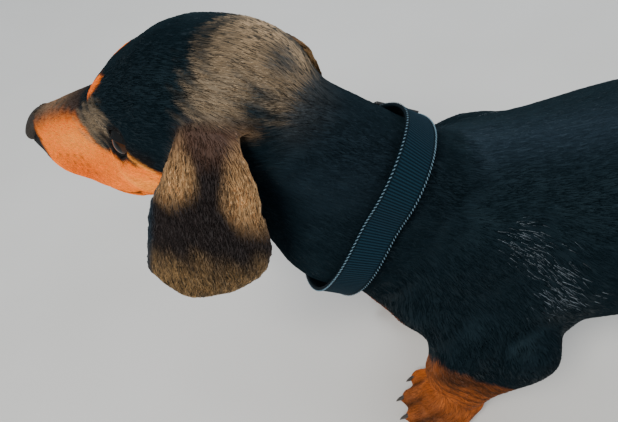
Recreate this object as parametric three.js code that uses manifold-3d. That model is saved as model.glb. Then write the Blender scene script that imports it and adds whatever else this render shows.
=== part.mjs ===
// A smooth-haired dachshund that stands and looks to its right, in a webbing collar.
// Millimetres, +Z up. The nose is towards -X, the tail towards +X, the dog's left is -Y.
// The flesh is one smooth field of distances. Each part of it is meshed at a fineness of its
// own and parted from its neighbours by a thin cut.
import * as THREE from "three";
import Module from "manifold-3d";
import { mergeVertices } from "three/addons/utils/BufferGeometryUtils.js";

const wasm = await Module();
wasm.setup();

const GAP = 0.3;
const FINEST = 0.12;
const SIDES = { left: -1, right: 1 };

// Driving dimensions of the body, from the withers at x = 0.
// The trunk is a row of egg-shaped sections.
const TRUNK = {
  x: [-70, -40, 0, 60, 120, 180, 240, 300, 350],
  top: [158, 194, 216, 216, 221, 223, 221, 212, 180],
  keel: [108, 88, 79, 76, 84, 97, 110, 121, 138],
  halfWidth: [40, 46, 52, 70, 75, 66, 56, 50, 40],
  widestAt: [134, 140, 146, 150, 156, 160, 165, 170, 166],
  frontCap: 36,
  rearCap: 66,
};
const TAIL = { root: [318, 0, 190], length: 245, droop: 44, bow: 1.9, rootRadius: 17, tipRadius: 4.5 };

// The head in a frame of its own: origin at the tip of the nose, x back, y right, z up.
const HEAD = { nose: [-252, 58, 235], size: 1.01, roll: -5, nod: -16.8, turn: -26.3 };
const EYE = { centre: [106, 24, 3], radius: 10.5, gaze: [-0.47, 0.83, 0.3] };
const ORBIT = { ahead: 4, radii: [11, 8, 8.5], turn: -28, rim: 7 };
const LID = { thickness: 1.9, halfWidth: 9.7, halfHeight: 7.2, corner: 1.9, bulge: 1, blend: 3 };

// Small vector helpers on [x, y, z].
const add = (a, b) => [a[0] + b[0], a[1] + b[1], a[2] + b[2]];
const sub = (a, b) => [a[0] - b[0], a[1] - b[1], a[2] - b[2]];
const scale = (a, s) => [a[0] * s, a[1] * s, a[2] * s];
const dot = (a, b) => a[0] * b[0] + a[1] * b[1] + a[2] * b[2];
const cross = (a, b) => [
  a[1] * b[2] - a[2] * b[1], a[2] * b[0] - a[0] * b[2], a[0] * b[1] - a[1] * b[0]];
const mix = (a, b, t) => a + (b - a) * t;
const mixPoint = (a, b, t) => a.map((v, i) => mix(v, b[i], t));
const mirror = (a, side) => [a[0], a[1] * side, a[2]];
const unit = (a) => scale(a, 1 / Math.hypot(...a));
const clamp = (v, low, high) => Math.min(high, Math.max(low, v));
const radians = THREE.MathUtils.degToRad;

const headTurn = new THREE.Matrix4().makeRotationFromEuler(
  new THREE.Euler(radians(HEAD.roll), radians(HEAD.nod), radians(HEAD.turn), "XYZ"));
const headFrame = new THREE.Matrix4()
  .makeTranslation(...HEAD.nose)
  .multiply(headTurn)
  .multiply(new THREE.Matrix4().makeScale(HEAD.size, HEAD.size, HEAD.size));
const headInverse = headFrame.clone().invert();

function through(matrix, p) {
  const e = matrix.elements;
  return [0, 1, 2].map((i) => e[i] * p[0] + e[i + 4] * p[1] + e[i + 8] * p[2] + e[i + 12]);
}
const onHead = (p) => through(headFrame, p);

// Fields of distance: negative inside.
function roundCone(a, b, ra, rb) {
  const ab = sub(b, a);
  const length2 = dot(ab, ab);
  const dr = ra - rb;
  const a2 = length2 - dr * dr;
  return (p) => {
    const pa = sub(p, a);
    const y = dot(pa, ab);
    const z = y - length2;
    const away = sub(scale(pa, length2), scale(ab, y));
    const x2 = dot(away, away);
    const y2 = y * y * length2;
    const z2 = z * z * length2;
    const k = Math.sign(dr) * dr * dr * x2;
    if (Math.sign(z) * a2 * z2 > k) {
      return Math.sqrt(x2 + z2) / length2 - rb;
    }
    if (Math.sign(y) * a2 * y2 < k) {
      return Math.sqrt(x2 + y2) / length2 - ra;
    }
    return (Math.sqrt(x2 * a2 / length2) + y * dr) / length2 - ra;
  };
}

// An ellipsoid, turned by Euler angles in degrees.
function egg(centre, radii, turn = [0, 0, 0]) {
  const q = new THREE.Quaternion()
    .setFromEuler(new THREE.Euler(...turn.map(radians))).invert();
  const v = new THREE.Vector3();
  return (p) => {
    v.set(p[0] - centre[0], p[1] - centre[1], p[2] - centre[2]).applyQuaternion(q);
    const k0 = Math.hypot(v.x / radii[0], v.y / radii[1], v.z / radii[2]);
    const k1 = Math.hypot(v.x / radii[0] ** 2, v.y / radii[1] ** 2, v.z / radii[2] ** 2);
    return k1 < 1e-9 ? -Math.min(...radii) : k0 * (k0 - 1) / k1;
  };
}

// The union of two fields, rounded over a width k where they meet.
function soften(a, b, k) {
  const h = Math.max(k - Math.abs(a - b), 0) / k;
  return Math.min(a, b) - h * h * k / 4;
}
// The first field less the second, with a rounded rim.
const carve = (a, b, k) => -soften(-a, b, k);

function blended(pieces) {
  return (p) => pieces.reduce((d, [field, k]) => soften(d, field(p), k), Infinity);
}

// A smooth curve through values given at rising places.
function curve(places, values) {
  const slopes = values.map((v, i) => {
    const before = Math.max(i - 1, 0);
    const after = Math.min(i + 1, values.length - 1);
    return (values[after] - values[before]) / (places[after] - places[before]);
  });
  return (x) => {
    const at = clamp(x, places[0], places[places.length - 1]);
    let i = 0;
    while (i < places.length - 2 && at > places[i + 1]) {
      i += 1;
    }
    const width = places[i + 1] - places[i];
    const t = (at - places[i]) / width;
    const fall = (1 - t) * (1 - t);
    const rise = t * t;
    return values[i] * (1 + 2 * t) * fall + values[i + 1] * (3 - 2 * t) * rise
      + width * (slopes[i] * t * fall - slopes[i + 1] * (1 - t) * rise);
  };
}

function trunkField() {
  const top = curve(TRUNK.x, TRUNK.top);
  const keel = curve(TRUNK.x, TRUNK.keel);
  const halfWidth = curve(TRUNK.x, TRUNK.halfWidth);
  const widest = curve(TRUNK.x, TRUNK.widestAt);
  const front = TRUNK.x[0];
  const rear = TRUNK.x[TRUNK.x.length - 1];
  const level = (p) => {
    const inFront = Math.max(front + TRUNK.frontCap - p[0], 0) / TRUNK.frontCap;
    const behind = Math.max(p[0] - rear + TRUNK.rearCap, 0) / TRUNK.rearCap;
    const middle = widest(p[0]);
    const height = p[2] > middle ? top(p[0]) - middle : middle - keel(p[0]);
    return Math.hypot(p[1] / halfWidth(p[0]), (p[2] - middle) / height, inFront, behind) - 1;
  };
  return (p) => {
    const here = level(p);
    const step = 0.5;
    const slope = [0, 1, 2].map((i) => {
      const q = p.slice();
      q[i] += step;
      return (level(q) - here) / step;
    });
    return here / Math.max(Math.hypot(...slope), 0.004);
  };
}

// The neck: a nape from the withers and a throat from the chest, both up to the head.
function neckField() {
  const [withers, nape, poll] = [[6, 0, 171], [-32, -8, 194.5], onHead([168, 0, -15.5])];
  const [forechest, throat, jaw] = [[-26, -2, 148], [-76, -14, 190], onHead([138, 0, -22])];
  return blended([
    [roundCone(withers, nape, 34, 36.5), 1],
    [roundCone(nape, poll, 36.5, 28.5), 6],
    [roundCone(forechest, throat, 46, 37), 10],
    [roundCone(throat, jaw, 37, 25), 10],
  ]);
}

function shoulderField(side) {
  const blade = egg(mirror([-2, 42, 154], side), [34, 16, 52], [0, 30, 0]);
  const upperArm = roundCone(mirror([-32, 42, 130], side), mirror([20, 62, 106], side), 20, 19);
  const triceps = egg(mirror([30, 53, 125], side), [29, 17, 34], [0, -20, 0]);
  return blended([[blade, 1], [upperArm, 12], [triceps, 12]]);
}

const chestField = egg([-40, 0, 132], [28, 34, 36]);

// The paw points its toes towards -x; toes, pads and knuckles come from its length and width.
// The toes by their places across the paw; the two in the middle reach further.
const TOES = [-1.5, -0.5, 0.5, 1.5];

function toeTip(heel, length, width, toe) {
  const reach = Math.abs(toe) < 1 ? 0.86 : 0.7;
  return add(heel, [-reach * length, toe * width * 0.29, 8.5]);
}

function pawPieces(heel, length, width) {
  const instep = egg(add(heel, [-0.42 * length, 0, 15]), [0.38 * length, 0.4 * width, 16]);
  const mainPad = egg(add(heel, [-0.34 * length, 0, 5]), [0.22 * length, 0.3 * width, 7]);
  const toes = TOES.flatMap((toe) => {
    const tip = toeTip(heel, length, width, toe);
    const knuckle = add(tip, [0.3 * length, -0.07 * toe * width, 4.5]);
    const pad = egg(add(tip, [4, 0, -4.5]), [9, 5.5, 5.5]);
    return [[roundCone(knuckle, tip, 0.16 * width, 0.15 * width), 3], [pad, 2]];
  });
  return [[instep, 6], ...toes, [mainPad, 3]];
}

const FORELEG = {
  elbow: [26, 69, 102], wrist: [-3, 54, 42], heel: [14, 52, 0], pawLength: 66, pawWidth: 50,
};
const HINDLEG = {
  stifle: [276, 54, 112], hock: [346, 50, 66], heel: [352, 50, 0], pawLength: 58, pawWidth: 42,
};

function forelegField(side) {
  const elbow = mirror(FORELEG.elbow, side);
  const wrist = mirror(FORELEG.wrist, side);
  const heel = mirror(FORELEG.heel, side);
  const muscle = roundCone(mirror([-11, 58, 98], side), mirror([-17, 55, 60], side), 22.5, 17.5);
  return blended([
    [roundCone(elbow, wrist, 21, 16.5), 1],
    [muscle, 12],
    [roundCone(wrist, add(heel, [-22, 0, 20]), 16, 15), 10],
    ...pawPieces(heel, FORELEG.pawLength, FORELEG.pawWidth),
  ]);
}

function hindlegField(side) {
  const stifle = mirror(HINDLEG.stifle, side);
  const hock = mirror(HINDLEG.hock, side);
  const heel = mirror(HINDLEG.heel, side);
  return blended([
    [egg(mirror([296, 42, 146], side), [44, 25, 52], [0, -14, 0]), 1],
    [roundCone(add(stifle, [4, -4 * side, 6]), add(hock, [-14, 0, 10]), 27, 13), 14],
    [roundCone(add(hock, [-14, 0, 10]), hock, 13, 10.5), 6],
    [roundCone(hock, add(heel, [-12, 0, 20]), 11, 12), 6],
    ...pawPieces(heel, HINDLEG.pawLength, HINDLEG.pawWidth),
  ]);
}

function tailField() {
  const steps = 6;
  const point = (t) => add(TAIL.root, [TAIL.length * t, 0, -TAIL.droop * Math.sin(TAIL.bow * t)]);
  const radius = (t) => mix(TAIL.rootRadius, TAIL.tipRadius, t ** 0.8);
  const pieces = [];
  for (let i = 0; i < steps; i += 1) {
    const [t, u] = [i / steps, (i + 1) / steps];
    pieces.push([roundCone(point(t), point(u), radius(t), radius(u)), 3]);
  }
  return blended(pieces);
}

// The head's own forms, in the head's frame, each with the width of its blend.
function skullField() {
  const pair = (make) => [make(-1), make(1)];
  const cranium = egg([144, 0, 1], [53, 40, 38.5]);
  const forehead = roundCone([101, 0, 10], [134, 0, 7], 22.5, 34.5);
  const muzzle = roundCone([20, 0, -5], [98, 0, -3], 14.5, 24.5);
  const bridge = roundCone([16, 0, 0], [92, 0, 7], 9, 14);
  const lowerJaw = roundCone([27, 0, -22], [118, 0, -29], 12, 19);
  const cheek = (s) => egg([124, 27 * s, -12], [36, 15, 24]);
  const upperLip = (s) => egg([42, 12.5 * s, -19.5], [30, 9.5, 12.5], [0, 5, 7 * s]);
  const flews = (s) => egg([76, 20 * s, -23], [34, 11, 16], [0, 6, 11 * s]);
  const brow = (s) => egg([103, 17 * s, 21], [16, 10, 8]);
  const cheekbone = (s) => roundCone([108, 31 * s, -7], [148, 33 * s, -8], 7, 9);
  const bone = blended([
    [cranium, 1],
    [forehead, 10],
    [muzzle, 10],
    [bridge, 6],
    [lowerJaw, 6],
    ...pair((s) => [cheek(s), 12]),
    ...pair((s) => [upperLip(s), 6]),
    ...pair((s) => [flews(s), 8]),
    ...pair((s) => [brow(s), 12]),
    ...pair((s) => [cheekbone(s), 12]),
  ]);
  const orbitPlace = add(EYE.centre, scale(EYE.gaze, EYE.radius + ORBIT.ahead));
  const orbits = pair((s) => egg(mirror(orbitPlace, s), ORBIT.radii, [0, 0, ORBIT.turn * s]));
  const sockets = (p) => orbits.reduce((d, orbit) => carve(d, orbit(p), ORBIT.rim), bone(p));
  const lids = pair((s) => egg(mirror(EYE.centre, s), Array(3).fill(EYE.radius + LID.bulge)));
  return blended([[sockets, 1], ...lids.map((lid) => [lid, LID.blend])]);
}

const skull = skullField();
const headField = (p) => skull(through(headInverse, p)) * HEAD.size;

const fleshField = blended([
  [trunkField(), 1],
  [chestField, 16],
  [neckField(), 16],
  [headField, 10],
  [tailField(), 16],
  ...Object.values(SIDES).flatMap((side) => [
    [shoulderField(side), 12],
    [forelegField(side), 8],
    [hindlegField(side), 14],
  ]),
]);

// Meshing. Grid lines from low to high, as far apart as the spacing allows.
function gridLines(low, high, spacing) {
  const count = Math.max(2, Math.ceil((high - low) / spacing));
  return Array.from({ length: count + 1 }, (_, i) => mix(low, high, i / count));
}

// Grid lines from low through [spacing, high] stretches.
function bands(low, ...stretches) {
  const lines = [low];
  stretches.forEach(([spacing, high]) => {
    lines.push(...gridLines(lines[lines.length - 1], high, spacing).slice(1));
  });
  return lines;
}

const CORNERS = [0, 1, 2, 3, 4, 5, 6, 7].map((i) => [i & 1, (i >> 1) & 1, (i >> 2) & 1]);
const EDGES = [];
for (let i = 0; i < 8; i += 1) {
  [1, 2, 4].filter((bit) => !(i & bit)).forEach((bit) => EDGES.push([i, i | bit]));
}

// A closed mesh of where the field is below zero, on the grid of lines along x, y and z.
function surfaceOf(field, lines) {
  const [nx, ny, nz] = lines.map((l) => l.length);
  const at = (i, j, k) => (k * ny + j) * nx + i;
  const values = new Float64Array(nx * ny * nz);
  for (let k = 0; k < nz; k += 1) {
    for (let j = 0; j < ny; j += 1) {
      for (let i = 0; i < nx; i += 1) {
        const rim = i === 0 || j === 0 || k === 0 || i === nx - 1 || j === ny - 1 || k === nz - 1;
        const d = field([lines[0][i], lines[1][j], lines[2][k]]);
        values[at(i, j, k)] = rim ? Math.max(d, 0.5) : d;
      }
    }
  }
  const vertices = [];
  const vertexOf = new Map();
  for (let k = 0; k < nz - 1; k += 1) {
    for (let j = 0; j < ny - 1; j += 1) {
      for (let i = 0; i < nx - 1; i += 1) {
        meetCell(i, j, k);
      }
    }
  }

  // One vertex for each separate bit of flesh in a cell.
  function meetCell(i, j, k) {
    const inside = CORNERS.map(([a, b, c]) => values[at(i + a, j + b, k + c)] < 0);
    if (inside.every((v) => v === inside[0])) {
      return;
    }
    const bit = inside.map((v, n) => (v ? n : -1));
    for (let pass = 0; pass < 4; pass += 1) {
      EDGES.forEach(([a, b]) => {
        if (inside[a] && inside[b]) {
          bit[a] = bit[b] = Math.min(bit[a], bit[b]);
        }
      });
    }
    new Set(bit.filter((b) => b >= 0)).forEach((label) => {
      const crossings = [];
      EDGES.forEach(([a, b]) => {
        const within = inside[a] ? a : b;
        if (inside[a] !== inside[b] && bit[within] === label) {
          const [p, q] = [cornerPoint(a), cornerPoint(b)];
          const [va, vb] = [cornerValue(a), cornerValue(b)];
          crossings.push(mixPoint(p, q, va / (va - vb)));
        }
      });
      const mean = scale(crossings.reduce(add), 1 / crossings.length);
      vertexOf.set(`${i},${j},${k},${label}`, vertices.length);
      vertices.push(settle(mean, [i, j, k]));
    });
    bit.forEach((label, n) => {
      if (label >= 0) {
        vertexOf.set(`${i},${j},${k}:${n}`, vertexOf.get(`${i},${j},${k},${label}`));
      }
    });

    function cornerPoint(n) {
      const [a, b, c] = CORNERS[n];
      return [lines[0][i + a], lines[1][j + b], lines[2][k + c]];
    }

    function cornerValue(n) {
      const [a, b, c] = CORNERS[n];
      return values[at(i + a, j + b, k + c)];
    }
  }

  // Steps down the slope of the field onto its surface, staying near the cell.
  function settle(start, cell) {
    let p = start;
    const h = 0.2;
    for (let pass = 0; pass < 3; pass += 1) {
      const d = field(p);
      const slope = [0, 1, 2].map((axis) => {
        const q = p.slice();
        q[axis] += h;
        return (field(q) - d) / h;
      });
      const steep = Math.max(dot(slope, slope), 0.05);
      p = sub(p, scale(slope, d / steep));
    }
    return p.map((v, axis) => {
      const reach = 0.45 * (lines[axis][cell[axis] + 1] - lines[axis][cell[axis]]);
      return clamp(v, start[axis] - reach, start[axis] + reach);
    });
  }

  const triangles = [];
  const steps = [[1, 0, 0], [0, 1, 0], [0, 0, 1]];
  for (let k = 0; k < nz - 1; k += 1) {
    for (let j = 0; j < ny - 1; j += 1) {
      for (let i = 0; i < nx - 1; i += 1) {
        steps.forEach((step, axis) => meetEdge([i, j, k], add([i, j, k], step), axis));
      }
    }
  }

  // A quad round each grid edge that leaves the flesh, split along its shorter diagonal.
  function meetEdge(a, b, axis) {
    const fromInside = values[at(...a)] < 0;
    if (fromInside === values[at(...b)] < 0) {
      return;
    }
    const flesh = fromInside ? a : b;
    const [u, v] = [steps[(axis + 1) % 3], steps[(axis + 2) % 3]];
    const cells = [a, sub(a, u), sub(sub(a, u), v), sub(a, v)];
    const ring = cells.map((cell) => {
      const corner = sub(flesh, cell);
      const n = corner[0] + 2 * corner[1] + 4 * corner[2];
      return vertexOf.get(`${cell[0]},${cell[1]},${cell[2]}:${n}`);
    });
    if (!fromInside) {
      ring.reverse();
    }
    const span = (m, n) => Math.hypot(...sub(vertices[ring[m]], vertices[ring[n]]));
    const order = span(0, 2) < span(1, 3) ? [0, 1, 2, 0, 2, 3] : [1, 2, 3, 1, 3, 0];
    triangles.push(...order.map((n) => ring[n]));
  }
  return manifold(vertices.flat(), triangles);
}

function manifold(positions, indices) {
  return new wasm.Manifold(new wasm.Mesh({
    numProp: 3,
    vertProperties: new Float32Array(positions),
    triVerts: new Uint32Array(indices),
  }));
}

// The flesh on a grid of lines that is set in the given frame.
function fleshOn(lines, frame = new THREE.Matrix4(), field = fleshField) {
  const local = surfaceOf((p) => field(through(frame, p)), lines);
  return moved(local, frame);
}

function moved(solid, frame) {
  const mesh = solid.getMesh();
  const points = [];
  for (let i = 0; i < mesh.numVert; i += 1) {
    points.push(...through(frame, Array.from(mesh.position(i))));
  }
  return manifold(points, mesh.triVerts);
}

// A three.js geometry as a solid, placed by a matrix.
function solidOf(geometry, matrix = new THREE.Matrix4()) {
  const plain = geometry.clone().applyMatrix4(matrix);
  plain.deleteAttribute("normal");
  plain.deleteAttribute("uv");
  const merged = mergeVertices(plain, 1e-4);
  return manifold(merged.attributes.position.array, merged.index.array);
}

// The far side of a plane, as a slab that is larger than the dog.
function beyond(point, normal, shift = 0) {
  const size = 1400;
  const q = new THREE.Quaternion()
    .setFromUnitVectors(new THREE.Vector3(0, 0, 1), new THREE.Vector3(...unit(normal)));
  const centre = add(point, scale(unit(normal), size / 2 + shift));
  const matrix = new THREE.Matrix4()
    .compose(new THREE.Vector3(...centre), q, new THREE.Vector3(1, 1, 1));
  return solidOf(new THREE.BoxGeometry(size, size, size), matrix);
}

// A tapered, round-ended rod from a to b. Its ends are as fine along their arcs as round it.
function rod(a, b, ra, rb, sides = 20) {
  const axis = sub(b, a);
  const length = Math.hypot(...axis);
  const tilt = Math.asin((ra - rb) / length);
  const arcStep = 1.35 * 2 * Math.PI / sides;
  const arc = (centre, r, from, to) => gridLines(from, to, arcStep).map(
    (angle) => new THREE.Vector2(Math.max(r * Math.cos(angle), 0), centre + r * Math.sin(angle)));
  const outline = [
    ...arc(0, ra, -Math.PI / 2, tilt),
    ...arc(length, rb, tilt, Math.PI / 2),
  ];
  outline[0].x = 0;
  outline[outline.length - 1].x = 0;
  const q = new THREE.Quaternion()
    .setFromUnitVectors(new THREE.Vector3(0, 1, 0), new THREE.Vector3(...unit(axis)));
  const matrix = new THREE.Matrix4()
    .compose(new THREE.Vector3(...a), q, new THREE.Vector3(1, 1, 1));
  return solidOf(new THREE.LatheGeometry(outline, sides), matrix);
}

// The same solid with every corner pushed out along its surface.
function grown(solid, by) {
  const mesh = solid.getMesh();
  const geometry = new THREE.BufferGeometry();
  geometry.setAttribute("position", new THREE.BufferAttribute(new Float32Array(mesh.vertProperties), 3));
  geometry.setIndex(new THREE.BufferAttribute(new Uint32Array(mesh.triVerts), 1));
  geometry.computeVertexNormals();
  const { position, normal } = geometry.attributes;
  const points = position.array.map((v, i) => v + by * normal.array[i]);
  return manifold(points, mesh.triVerts);
}

// The largest closed body of a solid, with its shortest edges merged.
function largest(solid) {
  const bodies = solid.decompose().sort((a, b) => b.volume() - a.volume());
  return bodies[0].simplify(FINEST);
}

// A closed strip through rings of points that all have the same even count. Each end is capped
// from side to side of its ring.
function stripOf(rings, closed = false) {
  const count = rings[0].length;
  const indices = [];
  const last = closed ? rings.length : rings.length - 1;
  for (let m = 0; m < last; m += 1) {
    for (let n = 0; n < count; n += 1) {
      const next = (m + 1) % rings.length;
      const [a, b] = [m * count + n, m * count + (n + 1) % count];
      const [c, d] = [next * count + n, next * count + (n + 1) % count];
      indices.push(a, c, b, b, c, d);
    }
  }
  if (!closed) {
    const end = (rings.length - 1) * count;
    for (let n = 0; n < count / 2 - 1; n += 1) {
      const [a, b, c, d] = [n, n + 1, count - 2 - n, count - 1 - n];
      indices.push(a, b, c, a, c, d);
      indices.push(...[a, c, b, a, d, c].map((m) => end + m));
    }
  }
  const solid = manifold(rings.flat(2), indices);
  return solid.volume() > 0 ? solid : manifold(rings.flat(2), indices.reverse());
}

// The cuts between the parts of the flesh.
const HEAD_CUT = { point: onHead([193, 0, 4]), normal: sub(onHead([0.78, 0, -0.63]), onHead([0, 0, 0])) };
const NECK_CUT = { point: [-38, 0, 178], normal: [0.758, 0, -0.652] };
const TAIL_CUT = { point: [336, 0, 190], normal: [1, 0, 0.12] };
const LEG_CUTS = {
  fore: (side) => rod(mirror([14, 75, 96], side), mirror([-8, 54, 10], side), 40, 46),
  hind: (side) => rod(mirror([292, 68, 122], side), mirror([334, 52, 10], side), 44, 40),
};
const floor = solidOf(new THREE.BoxGeometry(1400, 400, 100), new THREE.Matrix4().makeTranslation(0, 0, -50));

// The eye is a ball; its lids are a thin shell over it, open in an almond along the gaze.
function eyeBall(side, radius, segments = 14) {
  const centre = onHead(mirror(EYE.centre, side));
  const geometry = new THREE.SphereGeometry(radius, segments, Math.round(segments * 0.7));
  return solidOf(geometry, new THREE.Matrix4().makeTranslation(...centre));
}

function lidShell(side) {
  const almond = new THREE.Shape();
  const reach = LID.halfWidth;
  almond.moveTo(-reach, 0);
  almond.quadraticCurveTo(0, LID.corner * LID.halfHeight, reach, 0);
  almond.quadraticCurveTo(0, -LID.corner * LID.halfHeight, -reach, 0);
  const depth = 3 * EYE.radius;
  const slot = new THREE.ExtrudeGeometry(almond, { depth, bevelEnabled: false, curveSegments: 8 });
  const gaze = new THREE.Vector3(...unit(mirror(EYE.gaze, side)));
  const across = new THREE.Vector3(1, 0, 0.05).cross(gaze).normalize();
  const along = across.clone().cross(gaze).normalize();
  const place = headFrame.clone()
    .multiply(new THREE.Matrix4().makeTranslation(...mirror(EYE.centre, side)))
    .multiply(new THREE.Matrix4().makeBasis(along, across.clone().negate(), gaze));
  const opening = solidOf(slot, along.clone().cross(across.clone().negate()).dot(gaze) > 0
    ? place
    : place.multiply(new THREE.Matrix4().makeScale(-1, 1, 1)));
  return { shell: eyeBall(side, EYE.radius + LID.thickness, 18), opening };
}

// The nose pad has a nostril on each side, with a slit that runs back from it.
const NOSE = { centre: [14.5, 0, 1], length: 10.5, halfWidth: 12.8, halfHeight: 9.5 };

function noseSolid() {
  const at = (back, across, up) => add(NOSE.centre, [back, across, up]);
  const nostrils = Object.values(SIDES).flatMap((s) => [
    egg(at(-10, 5.8 * s, -2.5), [5.5, 2.6, 3.2], [0, 0, 25 * s]),
    egg(at(-3, 11.4 * s, -4.5), [6, 3, 1.4], [0, 12, 12 * s]),
  ]);
  const groove = egg(at(-10.5, 0, -5.5), [2.6, 0.9, 7]);
  const pad = blended([
    [egg(NOSE.centre, [NOSE.length, NOSE.halfWidth, NOSE.halfHeight]), 1],
    [egg(at(-4, 0, -5), [6.5, 9.5, 8]), 4],
  ]);
  const whole = (p) => [...nostrils, groove].reduce((d, hole) => carve(d, hole(p), 1.6), pad(p));
  const lines = [bands(-2, [2.6, 14], [6, 30]), bands(-17, [2.6, 17]), bands(-16, [2.6, 15])];
  return largest(fleshOn(lines, headFrame, (p) => whole(through(headInverse, p))));
}

// The mouth is a thin wedge cut round the muzzle, from one corner past the chin to the other.
const MOUTH = {
  x: [80, 66, 50, 34, 21, 12],
  y: [28, 25.5, 21, 17.5, 13, 5],
  z: [-31, -30, -28.5, -26.5, -23, -19.5],
  gape: 1.7,
  outside: 5,
  inside: 6,
};

function mouthCut() {
  const places = [0, 1, 2, 3, 4, 5];
  const [x, y, z] = [MOUTH.x, MOUTH.y, MOUTH.z].map((values) => curve(places, values));
  const line = (t) => mirror([x(Math.abs(t)), y(Math.abs(t)), z(Math.abs(t))], Math.sign(t) || 1);
  const route = [...gridLines(-0.001, -5, 0.5), ...gridLines(5, 0.001, 0.5)].map(line);
  const rings = route.map((point, i) => {
    const before = route[Math.max(i - 1, 0)];
    const after = route[Math.min(i + 1, route.length - 1)];
    const outward = unit([before[1] - after[1], after[0] - before[0], 0]);
    const away = dot(outward, sub(point, [60, 0, 0])) > 0 ? outward : scale(outward, -1);
    const half = MOUTH.gape / 2;
    const { inside, outside } = MOUTH;
    return [[-inside, -0.1], [outside, -half], [outside, half], [-inside, 0.1]].map(
      ([reach, rise]) => onHead(add(add(point, scale(away, reach)), [0, 0, rise])));
  });
  return stripOf(rings);
}

const nose = noseSolid();
const eyes = Object.fromEntries(
  Object.entries(SIDES).map(([name, side]) => [name, eyeBall(side, EYE.radius)]));

function headSolid() {
  const lines = [
    bands(-6, [7, 30], [10, 88], [6, 122], [14, 222]),
    bands(-66, [10, -38], [6.4, 38], [10, 66]),
    bands(-78, [10.5, -46], [6.8, 34], [10.5, 60]),
  ];
  let solid = fleshOn(lines, headFrame).subtract(beyond(HEAD_CUT.point, HEAD_CUT.normal, -GAP / 2));
  Object.values(SIDES).forEach((side) => {
    const { shell, opening } = lidShell(side);
    solid = solid.add(shell).subtract(opening).subtract(eyeBall(side, EYE.radius + GAP));
  });
  return largest(solid.subtract(grown(nose, GAP)).subtract(mouthCut()));
}

function neckSolid() {
  const step = 12;
  const lines = [bands(-190, [step, 60]), bands(-110, [step, 90]), bands(80, [step, 330])];
  const part = fleshOn(lines)
    .intersect(beyond(HEAD_CUT.point, HEAD_CUT.normal, GAP / 2))
    .subtract(beyond(NECK_CUT.point, NECK_CUT.normal, -GAP / 2));
  return largest(part);
}

function torsoSolid() {
  const lines = [
    bands(-110, [14.5, 70], [24, 250], [18, 370]),
    bands(-92, [17, 92]),
    bands(50, [17, 260]),
  ];
  const cuts = Object.values(SIDES).flatMap(
    (side) => Object.values(LEG_CUTS).map((region) => grown(region(side), GAP)));
  const part = fleshOn(lines)
    .intersect(beyond(NECK_CUT.point, NECK_CUT.normal, GAP / 2))
    .subtract(beyond(TAIL_CUT.point, TAIL_CUT.normal, -GAP / 2));
  return largest(cuts.reduce((solid, cut) => solid.subtract(cut), part));
}

function tailSolid() {
  const end = TAIL.root[0] + TAIL.length + 12;
  const lines = [
    bands(310, [15, end - 40], [7, end]),
    bands(-34, [10, -12], [6, 12], [10, 34]),
    bands(100, [10, 138], [5.5, 160], [9, 220]),
  ];
  return largest(fleshOn(lines).intersect(beyond(TAIL_CUT.point, TAIL_CUT.normal, GAP / 2)));
}

// A claw points down and forward from the tip of each toe.
const CLAW = { reach: [-10, 0, -6], rootRadius: 2.6, tipRadius: 0.9, sides: 6 };

function clawsOf(heel, length, width) {
  return TOES.map((toe) => {
    const root = add(toeTip(heel, length, width, toe), [-4, 0, 1]);
    return rod(root, add(root, CLAW.reach), CLAW.rootRadius, CLAW.tipRadius, CLAW.sides);
  });
}

function legSolid(kind, side) {
  const xLines = { fore: bands(-70, [6.8, 20], [11, 80]), hind: bands(244, [13, 283], [8, 372]) }[kind];
  const yLines = {
    fore: bands(14, [7.2, 84], [10, 104]), hind: bands(4, [11, 26], [7, 76], [12, 100]),
  }[kind];
  const zLines = bands(-4, [5, 28], [14, { fore: 148, hind: 180 }[kind]]);
  const across = side < 0 ? yLines.map((y) => -y).reverse() : yLines;
  const leg = { fore: FORELEG, hind: HINDLEG }[kind];
  const claws = clawsOf(mirror(leg.heel, side), leg.pawLength, leg.pawWidth);
  const part = claws.reduce((solid, claw) => solid.add(claw), fleshOn([xLines, across, zLines]));
  return largest(part.intersect(LEG_CUTS[kind](side)).subtract(floor));
}

// An ear is a thin cupped leaf. It leaves the skull at its root, folds over and hangs.
// Its route runs outward and down from the front of the root; its edges are set along it.
const EAR = {
  front: [148.6, 40.3, 19.2],
  rear: [186, 36.2, 9.4],
  along: [0, 0.06, 0.1, 0.14, 0.19, 0.27, 0.38, 0.62, 0.8, 0.9, 0.96, 1],
  outward: [-15, -6, 0, 4.5, 8, 11, 13, 15, 16.5, 17, 17, 17],
  down: [7, -1, -3, -1, 6, 19, 36, 66, 88, 101, 108, 111.5],
  centre: [19, 19, 19, 19, 19, 17, 12, 6.5, -2, -10.5, -13, -13],
  halfWidth: [12, 14, 15.5, 17, 19.5, 24, 29, 35, 34, 29, 23, 12],
  cup: { front: 11, rear: 6 },
  drop: 7,
  settled: { left: 0, right: 5 },
  settledIn: 0.6,
  thickness: { root: 3.4, tip: 2.2, edges: 0.55 },
  rows: 14,
  crowding: 0.1,
  columns: 6,
};

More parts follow.
